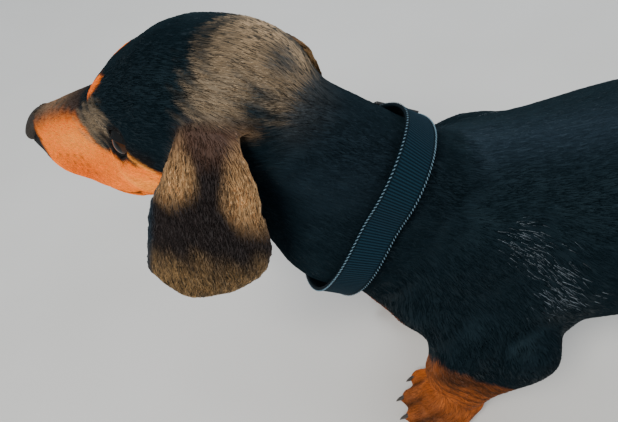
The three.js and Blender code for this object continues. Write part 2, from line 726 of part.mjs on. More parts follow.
function earSolid(name, neighbours) {
  const side = SIDES[name];
  const settled = EAR.settled[name];
  const [front, rear] = [EAR.front, EAR.rear].map((p) => onHead(mirror(p, side)));
  const along = unit([rear[0] - front[0], rear[1] - front[1], 0]);
  const outward = scale([-along[1], along[0], 0], side);
  const [out, down, centre, half] = [EAR.outward, EAR.down, EAR.centre, EAR.halfWidth]
    .map((values) => curve(EAR.along, values));
  const point = (t, across) => {
    const edge = across * across;
    const cup = across < 0 ? EAR.cup.front : EAR.cup.rear;
    const reach = out(t) - cup * edge * t - EAR.settledIn * settled;
    const place = add(front, scale(along, centre(t) + across * half(t)));
    const drop = EAR.drop * edge * Math.max(1 - 2 * t, 0);
    return add(add(place, scale(outward, reach)), [0, 0, -down(t) - drop - settled]);
  };
  // From the outer side through the leaf, across the way that it runs there.
  const inward = (t, across) => {
    const ahead = sub(point(Math.min(t + 0.01, 1), across), point(Math.max(t - 0.01, 0), across));
    const { root, tip, edges } = EAR.thickness;
    const thick = mix(root, tip, t) * mix(1, edges, across * across);
    return scale(unit(cross(ahead, along)), side * thick);
  };
  // The rows are closest together at the fold and at the tip.
  const rows = gridLines(0, 1, 1 / EAR.rows).map((t) => t - EAR.crowding * Math.sin(2 * Math.PI * t));
  const rings = rows.map((t) => {
    const steps = gridLines(-1, 1, 2 / EAR.columns);
    const outer = steps.map((across) => point(t, across));
    const inner = steps.map((across, i) => add(outer[i], inward(t, across))).reverse();
    return [...outer, ...inner];
  });
  return largest(neighbours.reduce((leaf, part) => leaf.subtract(grown(part, GAP)), stripOf(rings)));
}

// The collar: a band of webbing round the neck, closed by a buckle on the dog's right.
// A slide sits on the band, and a ring hangs from a keeper at the throat.
// Angles run round the neck from the nape, to the dog's left where they are positive.
const COLLAR = {
  centre: [-52, -9, 200],
  normal: [0.845, -0.27, -0.46],
  width: 20.5,
  thickness: 2.2,
  shoulderBend: -17,
  throatBend: -11,
  steepest: 0.3,
  slack: 1.8,
  napeSlack: 2.6,
  stepDegrees: 7.5,
};
const BUCKLE = { angle: -95, turn: 38, width: 26, height: 7 };
const SLIDE = { angle: -50, turn: 9, width: 25, height: 1.6 };
const KEEPER = { angle: 172, turn: 12, width: 9, height: 6.5 };
const RING = { halfWidth: 10, depth: 12.9, drop: 2, wire: 1.6, sides: 8 };

// How far the flesh reaches from a point inside the neck along a direction.
function reachOfFlesh(from, direction) {
  let near = 20;
  while (fleshField(add(from, scale(direction, near + 1))) < 0) {
    near += 1;
  }
  let far = near + 1;
  for (let pass = 0; pass < 8; pass += 1) {
    const middle = (near + far) / 2;
    if (fleshField(add(from, scale(direction, middle))) < 0) {
      near = middle;
    } else {
      far = middle;
    }
  }
  return near;
}

const collarAxis = unit(COLLAR.normal);
const collarUp = unit(sub([0, 0, 1], scale(collarAxis, collarAxis[2])));
const collarSide = cross(collarAxis, collarUp);

// A point of the collar: an angle from the nape, a place across its width, a height over it.
// The band bends forward over the right shoulder and the forechest, and leans no more than its
// steepest slope.
function onCollar(angle, across, height) {
  const bend = COLLAR.shoulderBend * Math.max(-Math.sin(angle), 0) ** 2
    + COLLAR.throatBend * Math.max(-Math.cos(angle), 0) ** 4;
  const direction = add(scale(collarUp, Math.cos(angle)), scale(collarSide, Math.sin(angle)));
  const nape = Math.max(Math.cos(angle), 0) ** 6;
  const slack = mix(COLLAR.slack, COLLAR.napeSlack, nape);
  const startAt = (place) => add(COLLAR.centre, scale(collarAxis, place + bend));
  const places = gridLines(-COLLAR.width / 2, COLLAR.width / 2, COLLAR.width / 4);
  const reaches = places.map((place) => reachOfFlesh(startAt(place), direction));
  const slope = (reaches[reaches.length - 1] - reaches[0]) / COLLAR.width;
  const lean = clamp(slope, -COLLAR.steepest, COLLAR.steepest);
  const middle = Math.max(...reaches.map((reach, i) => reach - lean * places[i]));
  return add(startAt(across), scale(direction, middle + lean * across + slack + height));
}

// A box-shaped piece that follows the collar over a stretch of its turn, in degrees.
function alongCollar(from, to, width, low, high) {
  const rings = gridLines(from, to, COLLAR.stepDegrees).map(radians).map((angle) => [
    onCollar(angle, -width / 2, low),
    onCollar(angle, width / 2, low),
    onCollar(angle, width / 2, high),
    onCollar(angle, -width / 2, high),
  ]);
  return stripOf(rings);
}

// A piece of the collar's fittings, centred on its angle.
function fitting({ angle, turn, width, height }, low) {
  return alongCollar(angle - turn / 2, angle + turn / 2, width, low, low + height);
}

// The ring is a bent wire: a straight bar through the keeper and a bow that hangs from it.
function ringSolid() {
  const lift = COLLAR.thickness + 2 * GAP + KEEPER.height / 2;
  const [left, right] = [-1, 1].map((end) => onCollar(radians(KEEPER.angle), end * RING.halfWidth, lift));
  const along = unit(sub(right, left));
  const middle = mixPoint(left, right, 0.5);
  const hang = unit(sub([0, 0, -1], scale(along, -along[2])));
  const flat = unit(cross(along, hang));
  const stations = [];
  gridLines(-0.75, 0.75, 0.5).forEach((t) => stations.push([t * RING.halfWidth, 0, [0, -1]]));
  gridLines(0, Math.PI, Math.PI / 10).forEach((a) => stations.push(
    [RING.halfWidth * Math.cos(a), RING.depth * Math.sin(a) + RING.drop, [Math.cos(a), Math.sin(a)]]));
  const rings = stations.map(([across, down, outward]) => {
    const centre = add(add(middle, scale(along, across)), scale(hang, down));
    const out = add(scale(along, outward[0]), scale(hang, outward[1]));
    return Array.from({ length: RING.sides }, (_, n) => {
      const turn = 2 * Math.PI * n / RING.sides;
      const round = add(scale(out, Math.cos(turn)), scale(flat, Math.sin(turn)));
      return add(centre, scale(round, RING.wire));
    });
  });
  return stripOf(rings, true);
}

function meshOf(name, solid, color, roughness, metalness = 0) {
  const mesh = solid.getMesh();
  const geometry = new THREE.BufferGeometry();
  geometry.setAttribute("position", new THREE.BufferAttribute(new Float32Array(mesh.vertProperties), 3));
  geometry.setIndex(new THREE.BufferAttribute(new Uint32Array(mesh.triVerts), 1));
  geometry.computeVertexNormals();
  const material = new THREE.MeshStandardMaterial({ color, roughness, metalness });
  const result = new THREE.Mesh(geometry, material);
  result.name = name;
  return result;
}

const BLACK_COAT = 0x17130f;
const TAN_COAT = 0x8a4f22;
const BLACK_HORN = 0x0a0908;
const WEBBING = 0x16181b;
const STEEL = 0xb8b8b4;
const head = headSolid();
const neck = neckSolid();
const dog = new THREE.Group();
dog.add(meshOf("head", head, BLACK_COAT, 0.6));
dog.add(meshOf("nose", nose, BLACK_HORN, 0.4));
dog.add(meshOf("neck", neck, BLACK_COAT, 0.6));
dog.add(meshOf("torso", torsoSolid(), BLACK_COAT, 0.6));
dog.add(meshOf("tail", tailSolid(), BLACK_COAT, 0.6));
for (const [name, side] of Object.entries(SIDES)) {
  dog.add(meshOf(`eye_${name}`, eyes[name], BLACK_HORN, 0.1));
  dog.add(meshOf(`ear_${name}`, earSolid(name, [head, neck]), BLACK_COAT, 0.6));
  dog.add(meshOf(`foreleg_${name}`, legSolid("fore", side), TAN_COAT, 0.6));
  dog.add(meshOf(`hindleg_${name}`, legSolid("hind", side), TAN_COAT, 0.6));
}
const buckleEnds = [BUCKLE.angle + BUCKLE.turn / 2 + 0.4, BUCKLE.angle - BUCKLE.turn / 2 + 359.6];
const overBand = COLLAR.thickness + 2 * GAP;
const ring = ringSolid();
const band = alongCollar(...buckleEnds, COLLAR.width, 0, COLLAR.thickness);
dog.add(meshOf("collar_band", band, WEBBING, 0.7));
dog.add(meshOf("collar_buckle", fitting(BUCKLE, 0), BLACK_HORN, 0.4));
dog.add(meshOf("collar_slide", fitting(SLIDE, overBand), BLACK_HORN, 0.4));
dog.add(meshOf("collar_keeper", fitting(KEEPER, overBand).subtract(grown(ring, GAP)), WEBBING, 0.7));
dog.add(meshOf("collar_ring", ring, STEEL, 0.3, 1));

// The origin is on the floor under the middle of the whole dog.
const box = new THREE.Box3().setFromObject(dog);
const middle = box.getCenter(new THREE.Vector3());
dog.position.set(-middle.x, -middle.y, -box.min.z);

export default dog;
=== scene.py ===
"""The looks of a smooth-haired black and tan dachshund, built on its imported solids."""

import math

import bpy
import bmesh
import numpy as np
from mathutils import Matrix, Vector
from mathutils.bvhtree import BVHTree


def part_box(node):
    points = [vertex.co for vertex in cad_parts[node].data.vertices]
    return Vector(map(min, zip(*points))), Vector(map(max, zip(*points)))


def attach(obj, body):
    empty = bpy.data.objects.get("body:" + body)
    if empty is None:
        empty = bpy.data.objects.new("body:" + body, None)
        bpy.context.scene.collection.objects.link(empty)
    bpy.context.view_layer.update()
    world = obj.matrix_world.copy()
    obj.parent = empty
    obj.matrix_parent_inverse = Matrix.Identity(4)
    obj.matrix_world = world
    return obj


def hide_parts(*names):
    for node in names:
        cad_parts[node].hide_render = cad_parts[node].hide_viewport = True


MM = 0.001
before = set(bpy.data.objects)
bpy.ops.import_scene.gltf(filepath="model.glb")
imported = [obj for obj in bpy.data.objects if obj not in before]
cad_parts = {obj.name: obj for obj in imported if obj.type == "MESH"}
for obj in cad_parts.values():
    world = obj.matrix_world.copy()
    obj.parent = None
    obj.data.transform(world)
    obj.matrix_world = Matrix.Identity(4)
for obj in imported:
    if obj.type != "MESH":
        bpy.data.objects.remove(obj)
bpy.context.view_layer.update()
dice = np.random.default_rng(7)

# The head's frame: origin at the nose's tip, x back, y right, z up, in millimetres of the head.
HEAD_ANGLES = {"X": -5.0, "Y": -16.8, "Z": -26.3}
HEAD_SCALE = 1.01 * MM
EYE_PLACE = Vector((106, 24, 3))
EYE_RADIUS = 10.5
GAZE = Vector((-0.36, 0.90, 0.20)).normalized()
# From the head's origin to the withers on the floor, along the dog's own axes.
NOSE_TO_WITHERS = Vector((252, -58, -235)) * MM


def head_matrix():
    turn = Matrix.Identity(3)
    for axis, angle in HEAD_ANGLES.items():
        turn = turn @ Matrix.Rotation(math.radians(angle), 3, axis)
    eyes = [sum(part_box(f"eye_{side}"), Vector()) / 2 for side in ("left", "right")]
    between = Vector((EYE_PLACE.x, 0, EYE_PLACE.z))
    origin = (eyes[0] + eyes[1]) / 2 - turn @ between * HEAD_SCALE
    return Matrix.Translation(origin) @ (turn * HEAD_SCALE).to_4x4()


HEAD = head_matrix()
HEAD_BACK = HEAD.inverted()
WITHERS = HEAD.translation + NOSE_TO_WITHERS


def through(matrix, points):
    a = np.array(matrix)
    return points @ a[:3, :3].T + a[:3, 3]


def on_head(points):
    """Points in metres as places of the head in millimetres."""
    return through(HEAD_BACK, points)


def to_eye(side):
    """The distance of places of the head from the right eye's centre."""
    return norm(side - np.array(EYE_PLACE))


def on_dog(points):
    """Points in metres as millimetres from the withers, with z from the floor."""
    return (points - np.array(WITHERS)) / MM


def from_dog(points):
    return np.asarray(points, dtype=float) * MM + np.array(WITHERS)


def step(low, high, x):
    t = np.clip((x - low) / (high - low), 0, 1)
    return t * t * (3 - 2 * t)


def norm(vectors):
    return np.linalg.norm(vectors, axis=-1)


def unit(vectors):
    return vectors / np.maximum(norm(vectors), 1e-12)[..., None]


def bump(distance, reach):
    return np.exp(-(distance / reach) ** 2)


def rows_of(*columns):
    """Columns, or single numbers, side by side as rows."""
    return np.stack(np.broadcast_arrays(*columns), -1)


def mirrored(points):
    """The points with those on the left moved to the right."""
    x, y, z = points.T
    return rows_of(x, np.abs(y), z)


def along_line(line, points):
    """The distance to a line through a row of corners, and the nearest place on it."""
    line = np.asarray(line)
    best = np.full(len(points), np.inf)
    nearest = np.zeros_like(points)
    for a, b in zip(line[:-1], line[1:]):
        t = np.clip(((points - a) @ (b - a)) / ((b - a) @ (b - a)), 0, 1)[:, None]
        place = a + t * (b - a)
        distance = norm(points - place)
        closer = distance < best
        best[closer] = distance[closer]
        nearest[closer] = place[closer]
    return best, nearest


# Meshes as arrays

def linked(name, data):
    made = bpy.data.objects.new(name, data)
    bpy.context.scene.collection.objects.link(made)
    return made


def mesh_from(name, points, faces, smooth=True):
    """An object from points (n, 3) and faces (m, k) that all have k corners."""
    mesh = bpy.data.meshes.new(name)
    count, corners = faces.shape
    mesh.vertices.add(len(points))
    mesh.vertices.foreach_set("co", points.astype(np.float32).ravel())
    mesh.loops.add(count * corners)
    mesh.loops.foreach_set("vertex_index", faces.astype(np.int32).ravel())
    mesh.polygons.add(count)
    mesh.polygons.foreach_set("loop_start", np.arange(0, count * corners, corners, dtype=np.int32))
    mesh.update(calc_edges=True)
    mesh.polygons.foreach_set("use_smooth", np.full(count, smooth))
    return linked(name, mesh)


def set_points(mesh, points):
    mesh.vertices.foreach_set("co", points.astype(np.float32).ravel())
    mesh.update()
    mesh.polygons.foreach_set("use_smooth", np.ones(len(mesh.polygons), dtype=bool))


def read(items, key, width, kind):
    values = np.zeros(len(items) * width, dtype=kind)
    items.foreach_get(key, values)
    return values.reshape(-1, width)


def points_of(mesh):
    return read(mesh.vertices, "co", 3, float)


def edges_of(mesh):
    return read(mesh.edges, "vertices", 2, np.int32)


def triangles_of(mesh):
    mesh.calc_loop_triangles()
    return read(mesh.loop_triangles, "vertices", 3, np.int32)


def welded(node):
    """A CAD node's points and triangles, with its split corners joined again."""
    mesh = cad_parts[node].data
    points, inverse = np.unique(points_of(mesh).round(7), axis=0, return_inverse=True)
    return points, inverse.ravel()[triangles_of(mesh)]


def set_value(made, name, values):
    attribute = made.data.attributes.new(name, "FLOAT", "POINT")
    attribute.data.foreach_set("value", np.asarray(values, dtype=np.float32).ravel())


def set_colour(made, colours):
    attribute = made.data.attributes.new("coat", "FLOAT_COLOR", "POINT")
    full = np.concatenate([colours, np.ones((len(colours), 1))], axis=1)
    attribute.data.foreach_set("color", full.astype(np.float32).ravel())


def gathered(values, places, count):
    """The sum of the values at each place, column by column."""
    return np.stack([np.bincount(places, values[:, k], count) for k in range(values.shape[1])], 1)


def doubled_areas(points, triangles):
    """Each triangle's normal, twice as long as its area."""
    corners = points[triangles]
    return np.cross(corners[:, 1] - corners[:, 0], corners[:, 2] - corners[:, 0])


def normals_of(points, triangles):
    faces = doubled_areas(points, triangles)
    return unit(sum(gathered(faces, triangles[:, k], len(points)) for k in range(3)))


def neighbours_mean(values, edges):
    ends, others = edges.T.ravel(), edges[:, ::-1].T.ravel()
    degree = np.maximum(np.bincount(ends, minlength=len(values)), 1)
    return gathered(values[others], ends, len(values)) / degree[:, None]


def relaxed(points, edges, amount, passes, restore):
    """Smooths points by an amount each; restore keeps what is broad from shrinking."""
    for _ in range(passes):
        for pull in (0.5, -restore):
            points = points + pull * amount[:, None] * (neighbours_mean(points, edges) - points)
    return points


def remeshed(made, voxel):
    modifier = made.modifiers.new("Remesh", "REMESH")
    modifier.mode = "VOXEL"
    modifier.voxel_size = voxel
    graph = bpy.context.evaluated_depsgraph_get()
    mesh = bpy.data.meshes.new_from_object(made.evaluated_get(graph))
    made.modifiers.clear()
    made.data = mesh
    return mesh


def grid_faces(rows, sides, closed=False):
    """The faces of a grid of points that runs round its sides, and round its rows if closed."""
    i, j = np.meshgrid(np.arange(rows if closed else rows - 1), np.arange(sides), indexing="ij")
    i2, j2 = (i + 1) % rows, (j + 1) % sides
    return np.stack([i * sides + j, i2 * sides + j, i2 * sides + j2, i * sides + j2], -1).reshape(-1, 4)


def tube(centres, radii, up, sides, squash=1.0):
    """A tube along centres; up is a direction across it, or one for each centre."""
    ahead = unit(np.gradient(centres, axis=0))
    side = unit(np.cross(ahead, up))
    over = np.cross(side, ahead)
    turn = np.linspace(0, 2 * math.pi, sides, endpoint=False)[None, :, None]
    ring = np.cos(turn) * side[:, None] * squash + np.sin(turn) * over[:, None]
    points = centres[:, None] + ring * np.reshape(radii, (-1, 1, 1))
    return points.reshape(-1, 3), grid_faces(len(centres), sides)


def joined(parts):
    points, faces, start = [], [], 0
    for own_points, own_faces in parts:
        points.append(own_points)
        faces.append(own_faces + start)
        start += len(own_points)
    return np.concatenate(points), np.concatenate(faces)


def finish_piece(made, material, slot, *nodes):
    """Dresses a piece, fixes it to the dog and puts it in place of its CAD nodes."""
    made.data.materials.append(material)
    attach(made, "root")
    if nodes:
        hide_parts(*nodes)


# The paws, as in the solids: the heel, length and width of each, and its toes' places across it
PAWS = {"foreleg": ((14, 52), 66, 50), "hindleg": ((352, 50), 58, 42)}
TOES = (-1.5, -0.5, 0.5, 1.5)
SIDES = {"left": -1, "right": 1}


def all_toes():
    """The tip of each of the sixteen toes, and the radius of its ball."""
    for (x, y), length, width in PAWS.values():
        for side in SIDES.values():
            for toe in TOES:
                reach = 0.86 if abs(toe) < 1 else 0.7
                tip = (x - reach * length, y * side + toe * width * 0.29, 8.5)
                yield from_dog(tip), 0.15 * width * MM


# The skin: one closed surface in place of all the solids of flesh
FLESH = ["head", "neck", "torso", "tail", "ear_left", "ear_right", "foreleg_left", "foreleg_right",
         "hindleg_left", "hindleg_right"]
VOXEL = 1.7 * MM
SHARE_PASSES = 10
SWELL = {"ear": 0.7 * MM}
OTHER_SWELL = 0.3 * MM
COAT_DEPTH = {"head": 0.7 * MM, "neck": 1.2 * MM, "torso": 1.3 * MM, "tail": 1.2 * MM, "ear": 0.6 * MM}
LEG_COAT_DEPTH = 0.9 * MM
# The passes of each smoothing, and how strongly it keeps broad forms from shrinking
FACET_SMOOTHING, BROAD_SMOOTHING, NOSE_SMOOTHING = (24, 0.52), (90, 0.507), (14, 0.515)
# Where the skin's faces are cut finer: from front to back and to each side, in head millimetres
FINE_FROM, FINE_TO, FINE_WIDTH = 4, 130, 44


def by_kind(table, other=None):
    """The table's value for each solid of flesh, by the first word of its name."""
    return [table.get(name.split("_")[0], other) for name in FLESH]


def node_is(shares, *names):
    """How much of each point belongs to the solids whose names start so."""
    return shares[:, [i for i, name in enumerate(FLESH) if name.startswith(names)]].sum(axis=1)


def flesh_arrays():
    """The solids of flesh joined and swollen to close the gaps, and each triangle's node."""
    parts, nodes = [], []
    for index, (name, swell) in enumerate(zip(FLESH, by_kind(SWELL, OTHER_SWELL))):
        points, triangles = welded(name)
        points = points + swell * normals_of(points, triangles)
        parts.append((points, triangles))
        nodes.append(np.full(len(triangles), index))
    return *joined(parts), np.concatenate(nodes)


def finer_face(mesh):
    """Cuts the faces of the muzzle and round the eyes into four."""
    points = on_head(points_of(mesh))
    x, y, _ = points.T
    near = (x < FINE_TO) & (x > FINE_FROM) & (np.abs(y) < FINE_WIDTH)
    work = bmesh.new()
    work.from_mesh(mesh)
    edges = [e for e in work.edges if near[e.verts[0].index] and near[e.verts[1].index]]
    bmesh.ops.subdivide_edges(work, edges=edges, cuts=1, use_grid_fill=True)
    bmesh.ops.triangulate(work, faces=[f for f in work.faces if len(f.verts) > 4])
    work.to_mesh(mesh)
    work.free()


def make_skin():
    points, triangles, nodes = flesh_arrays()
    tree = BVHTree.FromPolygons(points.tolist(), triangles.tolist())
    skin = mesh_from("skin", points, triangles)
    mesh = remeshed(skin, VOXEL)
    finer_face(mesh)
    points, edges, triangles = points_of(mesh), edges_of(mesh), triangles_of(mesh)
    shares = np.eye(len(FLESH))[[nodes[tree.find_nearest(p)[2]] for p in points]]
    for _ in range(SHARE_PASSES):
        shares = neighbours_mean(shares, edges)
    points = relaxed(points, edges, facet_share(points), *FACET_SMOOTHING)
    points = relaxed(points, edges, broad_share(points, shares), *BROAD_SMOOTHING)
    depth = shares @ np.add(by_kind(COAT_DEPTH, LEG_COAT_DEPTH), by_kind(SWELL, OTHER_SWELL))
    points = claws_removed(points - depth[:, None] * normals_of(points, triangles))
    set_points(mesh, opened_eyes(sculpted(points, triangles)))
    return skin, shares


def facet_share(points):
    """Facets are smoothed less on the paws and round the eyes."""
    paws = step(26, 50, on_dog(points)[:, 2])
    face = step(15, 27, to_eye(mirrored(on_head(points))))
    return np.minimum(0.35 + 0.65 * paws, 0.45 + 0.55 * face)


def broad_share(points, shares):
    whole = node_is(shares, "neck", "torso", "ear")
    legs = node_is(shares, *PAWS) * step(55, 100, on_dog(points)[:, 2])
    skull = node_is(shares, "head") * step(122, 145, on_head(points)[:, 0])
    return np.maximum(np.maximum(whole, legs), 0.8 * skull)


# The claws of the solids: their root and their direction from a toe's tip, and how far round them
# the skin is drawn in
SOLID_CLAW_ROOT, SOLID_CLAW_RAY = np.array([-4, 0, 1]) * MM, np.array([-10, 0, -6]) * MM
SOLID_CLAW_ROUND = 3.6 * MM


def claws_removed(points):
    """Draws the solids' claws back into the toes, because they are pieces of their own."""
    for tip, ball in all_toes():
        root = tip + SOLID_CLAW_ROOT
        line = np.stack([root, root + 1.2 * SOLID_CLAW_RAY])
        near = along_line(line, points)[0] < SOLID_CLAW_ROUND
        from_tip = points - tip
        far = norm(from_tip) > ball
        drawn = tip + unit(from_tip) * (ball - 0.4 * MM)
        points = np.where((near & far)[:, None], drawn, points)
    return points


# The face's relief, in head millimetres, on the right side and mirrored on the left
MOUTH_LINE = [
    [86, 29.5, -31.5], [80, 28, -31], [66, 25.5, -30], [50, 21, -28.5], [34, 17.5, -26.5],
    [21, 13, -23], [12, 5, -19.5], [11, 0, -19],
]
MOUTH_CORNER = [[84, 29, -31], [92, 32, -29], [99, 34, -31.5], [104, 34, -37]]
STOP_FURROW = [[84, 0, 20], [98, 0, 29], [116, 0, 36]]
LIP_SPLIT = [[9, 0, -9], [10, 0, -18]]
# Each furrow's line, depth and width
FURROWS = [
    (MOUTH_LINE, 1.5, 1.2), (MOUTH_CORNER, 0.9, 1.5), (STOP_FURROW, 0.7, 5.0), (LIP_SPLIT, 0.7, 1.2),
]
# How far each lip stands out, its height over the line of the mouth, and its width
LIPS = [(0.8, 3.6, 2.6), (0.6, -3.2, 2.2)]
# The folds of the body, in dog millimetres: in front of the elbow's lobe, and over it
FOLDS = [
    ([[-20, 66, 92], [2, 74, 104], [16, 76, 122]], 1.6, 5.0),
    ([[16, 76, 122], [34, 74, 130], [52, 70, 122]], 2.2, 6.0),
]
# The almond of the eye's opening, and how far behind the ball's surface the skin is drawn out to a
# share of the almond
ALMOND = {"half_width": 9.3, "half_height": 4.0, "tilt": -4.0}
DEEP, DEEP_SHARE = 2.2, 1.05
SHALLOW, SHALLOW_SHARE = 0.4, 1.25
OPENING_REACH = 9


def sculpted(points, triangles):
    side = mirrored(on_head(points))
    normals = normals_of(points, triangles)
    push = np.zeros(len(points))
    for line, depth, width in FURROWS:
        push -= depth * bump(along_line(line, side)[0], width)
    _, nearest = along_line(MOUTH_LINE, side)
    above = side[:, 2] - nearest[:, 2]
    off_line = norm((side - nearest)[:, :2])
    for stand, height, width in LIPS:
        push += stand * bump(np.hypot(off_line, above - height), width)
    body = mirrored(on_dog(points))
    for line, depth, width in FOLDS:
        push -= depth * bump(along_line(line, body)[0], width)
    return points + (push * MM)[:, None] * normals


def centre_of_eye(side):
    return np.array(EYE_PLACE) * (1, side, 1)


def eye_axes(side):
    """The gaze, and the almond's long and short axes, in the head's frame; side is -1 or 1."""
    gaze = np.array(GAZE) * (1, side, 1)
    along = unit(np.cross((0, 0, 1), gaze)) * side
    up = np.cross(gaze, along) * side
    tilt = math.radians(ALMOND["tilt"])
    cosine, sine = math.cos(tilt), math.sin(tilt)
    return gaze, along * cosine - up * sine, up * cosine + along * sine


def almond_edge(u):
    return ALMOND["half_height"] * np.clip(1 - np.abs(u) ** 2.2, 0, None) ** 0.9


def almond_share(across, rise):
    """Below 1 inside the almond of the eye's opening, and above 1 outside."""
    u = np.abs(across) / ALMOND["half_width"]
    edge = almond_edge(u)
    return np.maximum(u, np.where(edge > 0.3, np.abs(rise) / np.maximum(edge, 0.3), 2.0))


def opened_eyes(points):
    """Draws the skin inside each eye's opening back behind the ball."""
    head = on_head(points)
    for side in SIDES.values():
        centre = centre_of_eye(side)
        gaze, along, up = eye_axes(side)
        from_eye = head - centre
        radius = norm(from_eye)
        share = almond_share(from_eye @ along, from_eye @ up)
        near = (radius < EYE_RADIUS + OPENING_REACH) & (from_eye @ gaze > 0)
        inner = near & (share < SHALLOW_SHARE)
        limit = EYE_RADIUS - np.where(share < DEEP_SHARE, DEEP, SHALLOW)
        factor = np.where(inner, np.minimum(limit / radius, 1), 1)[:, None]
        head = centre + from_eye * factor
    return through(HEAD, head)


# The ears, as in the solids: how their middle and half width run with the drop from the root
EAR_FRONT, EAR_REAR = (148.6, 40.3, 19.2), (186, 36.2, 9.4)
EAR_DOWN = [-1, 6, 19, 36, 66, 88, 101, 108, 111.5]
EAR_MIDDLE = [19, 19, 17, 12, 6.5, -2, -10.5, -13, -13]
EAR_HALF_WIDTH = [17, 19.5, 24, 29, 35, 34, 29, 23, 12]


def ear_place(points, side):
    """How far down an ear each point is, in millimetres, and its place from -1 in front to 1 behind."""
    front, rear = [through(HEAD, np.array([[x, y * side, z]]))[0] for x, y, z in (EAR_FRONT, EAR_REAR)]
    along = unit((rear - front) * (1, 1, 0))
    down = (front[2] - points[:, 2]) / MM
    place = (points - front) @ along / MM
    middle, half = [np.interp(down, EAR_DOWN, row) for row in (EAR_MIDDLE, EAR_HALF_WIDTH)]
    return down, (place - middle) / half


# The markings, with painted sheen, sunlight and shade among them, as colours of the coat that lie over
# one another
# The coat's black, tinted teal as a painted blue sheen
BLACK_WITH_BLUE_SHEEN = (0.0042, 0.0096, 0.0134)
# Among these shades are painted sheen (the blue-grey and the pale grey), partly painted sunlight (the
# ears' gold and brown) and a tan darkened as painted shade for the body
SHADES = {
    "rust": (0.080, 0.042, 0.028), "brown_and_sunlight": (0.33, 0.205, 0.090), "gold_and_sunlight": (0.74, 0.440, 0.200),
    "tan": (0.88, 0.200, 0.012), "light_tan": (0.95, 0.355, 0.055), "deep_tan": (0.62, 0.100, 0.004),
    "khaki": (0.38, 0.275, 0.170), "slate_sheen": (0.020, 0.033, 0.048), "leather": (0.009, 0.007, 0.0065),
    "mist_sheen": (0.125, 0.130, 0.135), "silver": (0.26, 0.30, 0.34),
    "leg_tan": (0.245, 0.070, 0.017), "umber": (0.035, 0.015, 0.007),
}
# The shades in which dark hairs are mixed
MIXED = ("khaki", "gold_and_sunlight", "brown_and_sunlight", "mist_sheen")
# Round spots of the markings and of painted sheen, sunlight and shade, as centres and radii: in head
# millimetres, in dog millimetres from the chest on, and on the ears by the drop and the place across
SPOTS = {
    "pip": ((92, 14, 29), (6.5, 5.5, 8.5)), "lip": ((56, 18, 0), (26, 20, 9)),
    "cheek": ((108, 38, -14), (26, 20, 9)), "chin": ((50, 22, -20), (26, 14, 8)),
    "grizzled_and_sunlit_brow": ((79, 19, 10), (18, 12, 13)), "over_eye": ((93, 25, 21), (9, 8, 8)),
    "bridge": ((34, 0, 12), (17, 9, 7)), "poll_sheen": ((193, 8, 14), (11, 16, 14)),
    "shaded_hollow": ((182, 25, 11), (6, 7, 6)), "crown_side": ((170, 27, 20), (12, 14, 13)),
    "crown_top": ((179, 8, 31), (15, 18, 16)), "crown_back": ((194, 11, 8), (10, 13, 12)),
    "chest": ((-55, 30, 111), (22, 24, 20)), "vent": ((356, 0, 160), (26, 20, 24)),
    "nape_sheen": ((-94, -16, 298), (20, 34, 16)), "neck_side_sheen": ((-70, 34, 250), (44, 30, 34)),
    "ear_front": ((21, -0.58), (14, 0.36)), "ear_rear": ((27, 0.72), (20, 0.32)),
}
# Where the tan of the face ends; the dark patch behind the eye, partly black hair and partly painted
# shade under the brow; and the streak over the cheek, tan hair with a painted highlight on its fold's
# lit rim
TAN_EDGE = np.array([
    [10, 0, -3], [22, 0, 6], [34, 0, 9.5], [49, 0, 11], [62, 0, 11], [69, 0, 6], [72, 0, -2],
    [78, 0, -5.4], [94, 0, -2], [107, 0, 0.5], [118, 0, 0], [125, 0, -2.5], [140, 0, -9], [172, 0, -19],
])
EYE_PATCH_AND_SHADE = [[82, 21.8, 4], [90, 26, 2], [98, 31, 3], [112, 37.5, 5], [125, 43, 2]]
TAN_AND_LIT_STREAK = [[111, 37, 4], [118, 41, 1], [124, 43, -3]]
WHISKER_SPOTS = [(33 + 4 * row + 7 * k, -9.7 - 3.7 * row) for row in range(3) for k in range(4)]
# Where pale hairs lie among the black ones, on the shoulder's blade: partly grizzle, partly painted
# glints on sunlit hair tips
PALE_HAIR_AND_GLINT_LINE = [[17, 52, 192], [29, 59, 178], [41, 67, 150]]


def to_spot(points, name):
    """The distance from a spot's centre, as a share of its radii."""
    centre, radii = SPOTS[name]
    return norm((points - centre) / radii)


def soft_spot(points, name):
    return bump(to_spot(points, name), 1.0)


